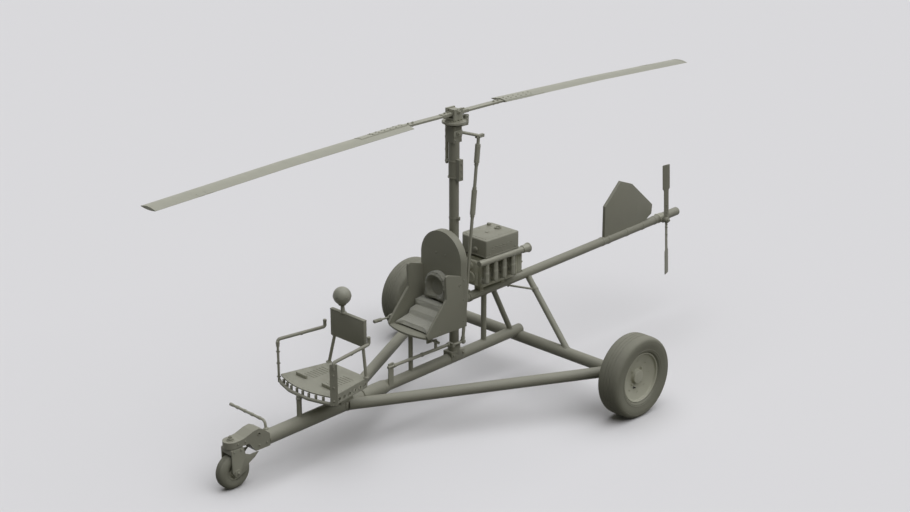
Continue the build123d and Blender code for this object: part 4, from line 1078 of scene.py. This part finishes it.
for side in (1, -1):
    turned(hoop_trim, [(0.0142, -0.010), (0.0152, -0.009), (0.0152, 0.003), (0.0120, 0.007), (0.004, 0.008)],
           (1.204, side * 0.262, 0.966), UP, 28)
    # bolts through the flat posts, and the clips that hold the ring tube to them
    face = Vector((1, side, 0)).normalized()
    post = Vector((1.636, side * 0.333, 0))
    for z in (0.585, 0.700, 0.800, 0.872):
        bolted(hoop_trim, post + 0.0070 * face + Vector((0, 0, z)), face, 0.011)
        bolted(hoop_trim, post - 0.0070 * face + Vector((0, 0, z)), -face, 0.011)
    collar(hoop_trim, 0.0142, 0.0162, 0.007, 0.001, (1.420, side * 0.2975, 0.905), (0.432, side * 0.071, 0),
           28)
    turned(hoop_trim, [(0.0132, 0.0), (0.026, 0.0), (0.025, 0.004), (0.0150, 0.008), (0.0132, 0.016)],
           (1.2035, side * 0.2227, 0.611), (-0.084, -side * 0.222, 1), 28, closed=True)
    turned(hoop_trim, [(0.0132, -0.004), (0.0215, -0.003), (0.0205, 0.002), (0.0150, 0.006), (0.0132, 0.012)],
           (1.1834, side * 0.1692, 0.8565), (0.084, side * 0.222, -1), 28, closed=True)
# tabs that stand between the ring tube and the tray's nose: distance from the middle, place of the ring there
for y, x in ((0.035, 1.7105), (0.105, 1.7085), (0.172, 1.6930), (0.238, 1.6740)):
    for side in (1, -1):
        rounded_box(hoop_trim, (x - 0.022, side * y - 0.004, 0.558), (x + 0.002, side * y + 0.004, 0.603),
                    0.0016, 2)
weld_round(hoop_trim, KEEL, KEEL_FRONT_R, ((TRAY_POST_X, 0, 0.55), keel_at(TRAY_POST_X)), TRAY_POST_R, 0.0036)
collar(hoop_trim, 0.0212, 0.0240, 0.010, 0.002, (TRAY_POST_X, 0, 0.525), UP)
fitted("hoop_fittings", hoop_trim, "frame", tube_paint, 60)


# ---- Instrument panel and compass ----
# A folded panel of painted sheet on two legs, plain towards the nose. Round dials in turned bezels face the
# pilot, and a ball compass stands on the top edge in a ring mount.
panel_paint = coat_of("panel crackle paint", (0.249, 0.245, 0.181), 0.60, (0.312, 0.305, 0.229), patch=0.2,
                      wear=0.5, dust=0.3, skin=0.0012, skin_depth=0.0004)
panel = bmesh.new()
rounded_box(panel, (1.1665, -0.200, 0.856), (1.1990, 0.200, 1.0825), 0.005, 3)
rounded_box(panel, (1.1655, -0.2005, 1.074), (1.2010, 0.2005, 1.086), 0.004, 3)
rounded_box(panel, (1.1975, -0.186, 0.870), (1.2000, 0.186, 1.068), 0.001, 2)
for y in (-0.175, 0.175):
    for z in (0.882, 1.057):
        turned(panel, [(0.0065, -0.001), (0.0065, 0.0012), (0.0045, 0.0024), (0.001, 0.0026)], (1.1998, y, z),
               AHEAD, 18)
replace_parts(fitted("panel_sheet", panel, "frame", panel_paint), "instrument_panel")

dial_face = coat_of("dial face", (0.045, 0.045, 0.045), 0.55, (0.08, 0.08, 0.08), depth=0.05, wear=0.0,
                    dust=0.05)
dial_mark = coat_of("dial marks", (0.62, 0.61, 0.57), 0.55, (0.6, 0.6, 0.56), depth=0.05, wear=0.0, dust=0.0)
# columns: across the panel, height, dial radius, needle turn in degrees
DIALS = [(-0.128, 1.022, 0.041, 40), (-0.028, 1.022, 0.041, 140), (0.072, 1.022, 0.041, -60),
         (-0.138, 0.928, 0.030, 200), (-0.064, 0.928, 0.030, -20), (0.010, 0.928, 0.030, 95),
         (0.150, 1.026, 0.026, 120)]
PANEL_X = 1.1660
bezels = bmesh.new()
faces = bmesh.new()
marks = bmesh.new()
for y, z, r, needle in DIALS:
    turned(bezels, [(r, -0.001), (r, 0.003), (r * 0.94, 0.0055), (r * 0.86, 0.0055), (r * 0.82, 0.003),
                    (r * 0.82, -0.001)], (PANEL_X, y, z), ASTERN, 48, closed=True)
    turned(faces, [(r * 0.83, -0.0008), (r * 0.83, 0.0010), (r * 0.80, 0.0012)], (PANEL_X, y, z), ASTERN, 48)
    for k in range(12):
        turn = radians(-135 + 270 * k / 11)
        out = Vector((0, sin(turn), cos(turn)))
        side = Vector((0, cos(turn), -sin(turn)))
        at = Vector((PANEL_X - 0.00135, y, z)) + out * r * 0.68
        long = r * (0.10 if k % 2 else 0.15)
        corners = [at + out * long * a + side * r * 0.022 * b
                   for a, b in ((-1, -1), (1, -1), (1, 1), (-1, 1))]
        slab(marks, corners, (-0.0004, 0, 0))
    turn = radians(needle)
    out = Vector((0, sin(turn), cos(turn)))
    side = Vector((0, cos(turn), -sin(turn)))
    hub_at = Vector((PANEL_X - 0.0020, y, z))
    slab(marks, [hub_at + side * r * 0.05, hub_at + out * r * 0.62, hub_at - side * r * 0.05,
                 hub_at - out * r * 0.18], (-0.0006, 0, 0))
    turned(marks, [(r * 0.10, -0.0005), (r * 0.10, 0.0010), (r * 0.05, 0.0015)], hub_at, ASTERN, 20)
# three toggle switches under the dials
for y in (0.070, 0.110, 0.150):
    turned(bezels, [(0.0085, -0.001), (0.0085, 0.002), (0.0060, 0.003), (0.0040, 0.003), (0.0034, 0.014),
                    (0.0046, 0.016), (0.0040, 0.019), (0.001, 0.0195)], (PANEL_X, y, 0.905), (-1, 0, 0.25),
           20)
fitted("dial_bezels", bezels, "frame", steel)
fitted("dial_faces", faces, "frame", dial_face)
fitted("dial_marks", marks, "frame", dial_mark)

ball_coat = coat_of("compass ball", (0.330, 0.327, 0.247), 0.28, (0.367, 0.361, 0.274), depth=0.07,
                    patch=0.06, wear=0.2, dust=0.25, skin=0.002, skin_depth=0.00008)
BALL = Vector((1.200, -0.048, 1.232))
BALL_R = 0.0735
ball = bmesh.new()
ball_outline = []
for k in range(41):
    turn = -pi / 2 + pi * k / 40
    r, up = BALL_R * cos(turn), BALL_R * sin(turn)
    # a shallow groove runs round the middle
    if abs(up) < 0.004:
        r = 0.0718
    ball_outline.append((r, up))
turned(ball, ball_outline, BALL, UP, 64)
lip = [(0.0700, -0.007), (0.0745, -0.0065), (0.0748, -0.004), (BALL_R, -0.003)]
for ring in (lip, mirrored(lip)):
    turned(ball, ring, BALL, UP, 64, closed=True)
turned(ball, [(0.030, -0.071), (0.033, -0.074), (0.028, -0.078), (0.0145, -0.082), (0.0140, -0.132),
              (0.0135, -0.144)], BALL, UP, 40)
turned(ball, [(0.0142, 0.0), (0.027, 0.0), (0.026, 0.004), (0.017, 0.008), (0.0142, 0.016)],
       (1.188, -0.048, 1.0855), UP, 36, closed=True)
turned(ball, [(0.0138, 0.0), (0.0138, 0.085)], (1.188, -0.048, 1.084), (0.012, 0, 0.085), 28)
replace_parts(fitted("compass_ball", ball, "frame", ball_coat), "compass")


# ---- Air probe ----
# A slim steel tube stands up from the keel's nose and bends out to starboard. It has collars along it and a
# rounded pressure head on its end.
wear_on(steel, "air_probe")
PROBE_X = 2.030
PROBE_Z = 0.431
PROBE_BORE = 0.0112
probe = bmesh.new()
for y in (-0.100, -0.190, -0.280, -0.370):
    collar(probe, PROBE_BORE, 0.0140, 0.011, 0.002, (PROBE_X, y, PROBE_Z), TO_STARBOARD, 24)
turned(probe, [(PROBE_BORE, -0.036), (0.0136, -0.030), (0.0138, -0.004), (0.0110, 0.003), (0.0050, 0.0055),
               (0.0030, 0.002)], (PROBE_X, -0.462, PROBE_Z), TO_STARBOARD, 28)
turned(probe, [(PROBE_BORE, -0.002), (0.0230, -0.002), (0.0220, 0.006), (0.0150, 0.010), (PROBE_BORE, 0.011)],
       (PROBE_X, -0.0235, 0.3640), (0, -0.187, 0.982), 28, closed=True)
fitted("air_probe_collars", probe, "frame", steel)


# ---- Rotor head and its drive ----
# A painted cheek block on the mast's top carries the tilting bearing housing. Behind it a small motor can
# turn the ring gear, and a guarded shaft hangs on the starboard side.
wear_on(mast_paint, "rotor_head")
wear_on(steel, "spin_drive")
DRIVE_Y = -0.084
SPIN_MOTOR_X = -0.136
head = bmesh.new()
bolted_each_side(head, 0.056, [(0.006, 2.338)], 0.019)
bolted_each_side(head, 0.046, [(x, z) for x in (-0.034, 0.034) for z in (2.285, 2.382)], 0.009)
for side in (1, -1):
    rounded_box(head, (-0.046, side * 0.0455, 2.312), (0.050, side * 0.0520, 2.364), 0.003)
turned(head, [(0.0362, 0.0), (0.0400, 0.001), (0.0400, 0.009), (0.0362, 0.010)], (0, 0, 2.3990), UP, 48,
       closed=True)
turned(head, [(0.0250, 0.0), (0.0265, 0.002), (0.0265, 0.014), (0.021, 0.018), (0.004, 0.019)],
       (SPIN_MOTOR_X, 0, 2.4450), UP, 40)
# ribs round the spin motor
for k in range(6):
    turned(head, [(0.0242, -0.0015), (0.0255, 0.0), (0.0242, 0.0015)], (SPIN_MOTOR_X, 0, 2.400 + 0.007 * k),
           UP, 40, closed=True)
for x in (-0.112, -0.072):
    bolted(head, (x, 0.0, 2.392), UP, 0.010)
for z in (2.086, 2.18, 2.29, 2.39):
    collar(head, 0.0132, 0.0158, 0.007, 0.001, (0, DRIVE_Y, z), UP, 28)
turned(head, [(0.0130, 0.0), (0.0130, 0.006), (0.009, 0.011), (0.003, 0.0125)], (0, DRIVE_Y, 2.072), DOWN, 28)
fitted("rotor_head_fittings", head, "frame", steel)


# ---- Rotor hub ----
# The ring gear and two cheeks, all of machined steel, turn together; the teeter bolt joins the cheeks. The
# whole rotor is parked a little off the keel's line.
PARKED_TURN = radians(0.85)


def yawed(bm):
    """Turns fittings about the mast by the angle that the rotor is parked at."""
    bmesh.ops.rotate(bm, cent=(0, 0, 0), matrix=Matrix.Rotation(PARKED_TURN, 3, "Z"), verts=bm.verts)
    return bm


wear_on(steel, "rotor_hub")
TEETER_Z = 2.520
RING_LOW_Z = 2.4225
RING_THICK = 0.016
RING_TEETH = 72
hub_trim = bmesh.new()
teeth = []
for k in range(RING_TEETH):
    for share, r in ((0.0, 0.0962), (0.30, 0.0998), (0.55, 0.0998), (0.85, 0.0962)):
        turn = tau * (k + share) / RING_TEETH
        teeth.append((r * cos(turn), r * sin(turn), RING_LOW_Z))
slab(hub_trim, teeth, (0, 0, RING_THICK))
turned(hub_trim, [(0.078, 0.0), (0.080, 0.003), (0.050, 0.004), (0.048, 0.0)], (0, 0, 2.4382), UP, 64,
       closed=True)
for c, s in round_about(6, 0.5):
    bolted(hub_trim, (0.069 * c, 0.069 * s, 2.4410), UP, 0.009)
bolted_each_side(hub_trim, 0.060, [(0, TEETER_Z)], 0.017)
bolted_each_side(hub_trim, 0.052, [(x, 2.4540) for x in (-0.034, 0.0, 0.034)], 0.009)
for side in (1, -1):
    turned(hub_trim, [(0.0092, -0.008), (0.020, -0.008), (0.020, -0.003), (0.017, 0.0), (0.0092, 0.0005)],
           (0, side * 0.060, TEETER_Z), (0, side, 0), 36, closed=True)
fitted("rotor_hub_gear", yawed(hub_trim), "rotor_hub", steel)


# ---- Teeter bar and blades ----
# A flat steel hub bar carries both blades. Each blade is a bonded alloy skin with doubler plates and bolts at
# its root, a row of rivets by its trailing edge, two trim tabs and a cap on its tip.
blade_metal = coat_of("blade alloy", (0.339, 0.336, 0.255), 0.38, (0.403, 0.398, 0.305), metal=0.12,
                      depth=0.10, patch=0.3, wear=0.4, wear_width=0.002, dust=0.15, skin=0.0012,
                      skin_depth=0.00008)
wear_on(blade_metal, "blade_front", "blade_rear")
wear_on(steel, "hub_bar")
BLADE_CHORD = 0.172
BAR_Z = 2.500
# columns: distance from the hub, height of the chord line
BLADE_LINE = [(0.560, BAR_Z), (1.800, 2.465), (3.050, 2.411)]


def blade_point(x, share, surface, proud=0.0):
    """A point on a blade's upper (1) or lower (-1) surface, at a share of the chord from the leading edge."""
    for (x0, z0), (x1, z1) in zip(BLADE_LINE, BLADE_LINE[1:]):
        if x <= x1:
            break
    middle = z0 + (z1 - z0) * (x - x0) / (x1 - x0)
    peak = 0.0796 if surface > 0 else 0.0469
    rise = 4 * peak * BLADE_CHORD * share * (1 - share) + 0.001 * share
    return Vector((x, BLADE_CHORD * (share - 0.34), middle + surface * (rise + proud)))


def blade_skin(bm, end, x_low, x_high, from_chord, to_chord, proud, steps=14):
    """A sheet laid round a blade between two stations, from one place on the chord to another."""
    loops = []
    for x in (x_low, x_high):
        shares = [from_chord + (to_chord - from_chord) * k / steps for k in range(steps + 1)]
        points = [blade_point(x, share, 1, proud) for share in shares]
        points += [blade_point(x, share, -1, proud) for share in reversed(shares)]
        loops.append([bm.verts.new((end * p.x, end * p.y, p.z)) for p in points])
    skin_between(bm, loops[0], loops[1])
    bm.faces.new(loops[0])
    bm.faces.new(loops[1])


blade_trim = bmesh.new()
for end in (1, -1):
    # two doubler plates, the tip cap and two trim tabs
    # columns: near and far station, near and far place on the chord, height over the skin
    for x_low, x_high, lead, trail, proud in ((0.562, 1.050, 0.05, 0.56, 0.0022),
                                              (0.562, 0.920, 0.09, 0.50, 0.0044),
                                              (3.026, 3.0498, 0.01, 0.97, 0.0008),
                                              (2.550, 2.600, 0.72, 0.99, 0.0010),
                                              (2.620, 2.670, 0.72, 0.99, 0.0010)):
        blade_skin(blade_trim, end, x_low, x_high, lead, trail, proud)
    for surface in (1, -1):
        for k in range(6):
            for share in (0.22, 0.42):
                p = blade_point(0.600 + 0.062 * k, share, surface, 0.0036)
                turned(blade_trim, [(0.0075, 0.0), (0.0075, 0.003), (0.0055, 0.0052), (0.001, 0.0056)],
                       (end * p.x, end * p.y, p.z), (0, 0, surface), 18)
    for k in range(34):
        p = blade_point(1.120 + 0.056 * k, 0.88, 1)
        turned(blade_trim, [(0.0028, -0.0006), (0.0026, 0.0004), (0.0010, 0.0009)],
               (end * p.x, end * p.y, p.z), UP, 10)
fitted("blade_fittings", yawed(blade_trim), "rotor_blades", blade_metal)
TEETER_HALF = 0.0338
bar_trim = bmesh.new()
for end in (1, -1):
    for surface in (1, -1):
        for x, rise in ((0.070, 0.013), (0.110, 0.013), (0.470, 0.008), (0.520, 0.008)):
            bolted(bar_trim, (end * x, 0.0, BAR_Z + surface * rise), (0, 0, surface), 0.015)
        near, far = sorted((end * 0.034, end * 0.150))
        low, high = sorted((BAR_Z + surface * 0.0075, BAR_Z + surface * 0.0135))
        rounded_box(bar_trim, (near, -0.027, low), (far, 0.027, high), 0.002, 2)
turned(bar_trim, [(0.0094, -TEETER_HALF), (0.0172, -TEETER_HALF), (0.0172, TEETER_HALF),
                  (0.0094, TEETER_HALF)], (0, 0, TEETER_Z), TO_PORT, 40, closed=True)
fitted("teeter_bar_bolts", yawed(bar_trim), "rotor_blades", steel)


# ---- Fin ----
# Two flat painted skins over a folded frame, with a rolled edge all round and rows of flush rivets. Clamps
# round the tail boom hold its foot.
fin = softened("fin", 0.006, 4)
FIN_OUTLINE = [(-1.930, 0.915), (-1.930, 1.258), (-2.143, 1.456), (-2.304, 1.396), (-2.613, 1.128),
               (-2.603, 1.040)]
for side in (1, -1):
    for (x0, z0), (x1, z1) in zip(FIN_OUTLINE, FIN_OUTLINE[1:]):
        one, two = Vector((x0, 0, z0)), Vector((x1, 0, z1))
        run = (two - one).length
        inward = Vector(TO_PORT).cross(two - one).normalized()
        if inward.dot(Vector((-2.27, 0, 1.18)) - one) < 0:
            inward = -inward
        rivets = max(2, round(run / 0.055))
        for k in range(rivets):
            at = one.lerp(two, (k + 0.5) / rivets) + inward * 0.024
            turned(fin, [(0.0040, -0.0006), (0.0038, 0.0006), (0.0022, 0.0015), (0.001, 0.0017)],
                   at + Vector((0, side * 0.015, 0)), (0, side, 0), 12)
    # two rows of rivets up the ribs inside: place along the fin, step between rivets
    for x_line, step in ((-2.14, 0.043), (-2.38, 0.030)):
        for k in range(9):
            turned(fin, [(0.0036, -0.0006), (0.0034, 0.0005), (0.0020, 0.0013), (0.001, 0.0015)],
                   (x_line, side * 0.015, 1.02 + k * step), (0, side, 0), 12)
for x in (-1.99, -2.25, -2.48):
    collar(fin, BOOM_BORE, 0.0428, 0.014, 0.002, boom_at(x), boom_axis, 40)
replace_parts(fitted("fin_riveted", fin, "frame", cowl_paint), "fin")


# ---- Tail gearbox and side rotor ----
# A small cast gearbox clamps round the boom. The side rotor's two blades are flat, pitched paddles on slim
# roots, bolted through a round hub and tilted a little on their shaft.
# the gearbox wears the cast grey that is lightened as painted light
wear_on(cast, "tail_gearbox")
TAIL = Vector((-2.747, 0.084, 0.960))
gearbox = bmesh.new()
collar(gearbox, BOOM_BORE, 0.0440, 0.034, 0.002, boom_at(TAIL.x), boom_axis, 48)
collar(gearbox, 0.0322, 0.0360, 0.004, 0.001, (TAIL.x, 0.0500, TAIL.z), TO_PORT, 48)
turned(gearbox, [(0.028, -0.012), (0.028, 0.004), (0.024, 0.007), (0.010, 0.008)], (TAIL.x, -0.0440, TAIL.z),
       TO_STARBOARD, 40)
for c, s in round_about(6):
    bolted(gearbox, (TAIL.x + 0.0205 * c, -0.0500, TAIL.z + 0.0205 * s), TO_STARBOARD, 0.006, washer=False)
fitted("tail_gearbox_covers", gearbox, "frame", cast)

tail = bmesh.new()
turned(tail, [(0.0112, -0.022), (0.0290, -0.022), (0.0300, -0.018), (0.0300, 0.014), (0.0270, 0.0195),
              (0.0112, 0.020)], TAIL, TO_PORT, 48, closed=True)
# columns: distance from the hub, half chord, half thickness
STATIONS = [(0.020, 0.0270, 0.0050), (0.292, 0.0280, 0.0050), (0.302, 0.0310, 0.0050),
            (0.309, 0.0390, 0.0050), (0.318, 0.0420, 0.0050), (0.538, 0.0420, 0.0046),
            (0.5460, 0.0405, 0.0042), (0.5495, 0.0360, 0.0030)]
PADDLE_TURN = radians(4)
PADDLE_PITCH = radians(-15)
for turn in (PADDLE_TURN, PADDLE_TURN + pi):
    place_blade = (Matrix.Translation(TAIL) @ Matrix.Rotation(turn, 4, "Y")
                   @ Matrix.Rotation(PADDLE_PITCH, 4, "Z"))
    loops = []
    for z, half, thick in STATIONS:
        section = [Vector((half * c, thick * s * (1 - 0.35 * c), z)) for c, s in round_about(28)]
        loops.append([tail.verts.new(place_blade @ corner) for corner in section])
    for one, two in zip(loops, loops[1:]):
        skin_between(tail, one, two)
    tail.faces.new(loops[0])
    tail.faces.new(loops[-1])
    for z in (0.046, 0.078, 0.150):
        for side in (1, -1):
            bolted(tail, place_blade @ Vector((0, side * 0.0048, z)),
                   place_blade.to_3x3() @ Vector((0, side, 0)), 0.010)
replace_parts(fitted("side_rotor", tail, "tail_rotor", cowl_paint), "tail_rotor")
nut = bmesh.new()
bolted(nut, (TAIL.x, 0.104, TAIL.z), TO_PORT, 0.024)
fitted("side_rotor_nut", nut, "tail_rotor", steel)
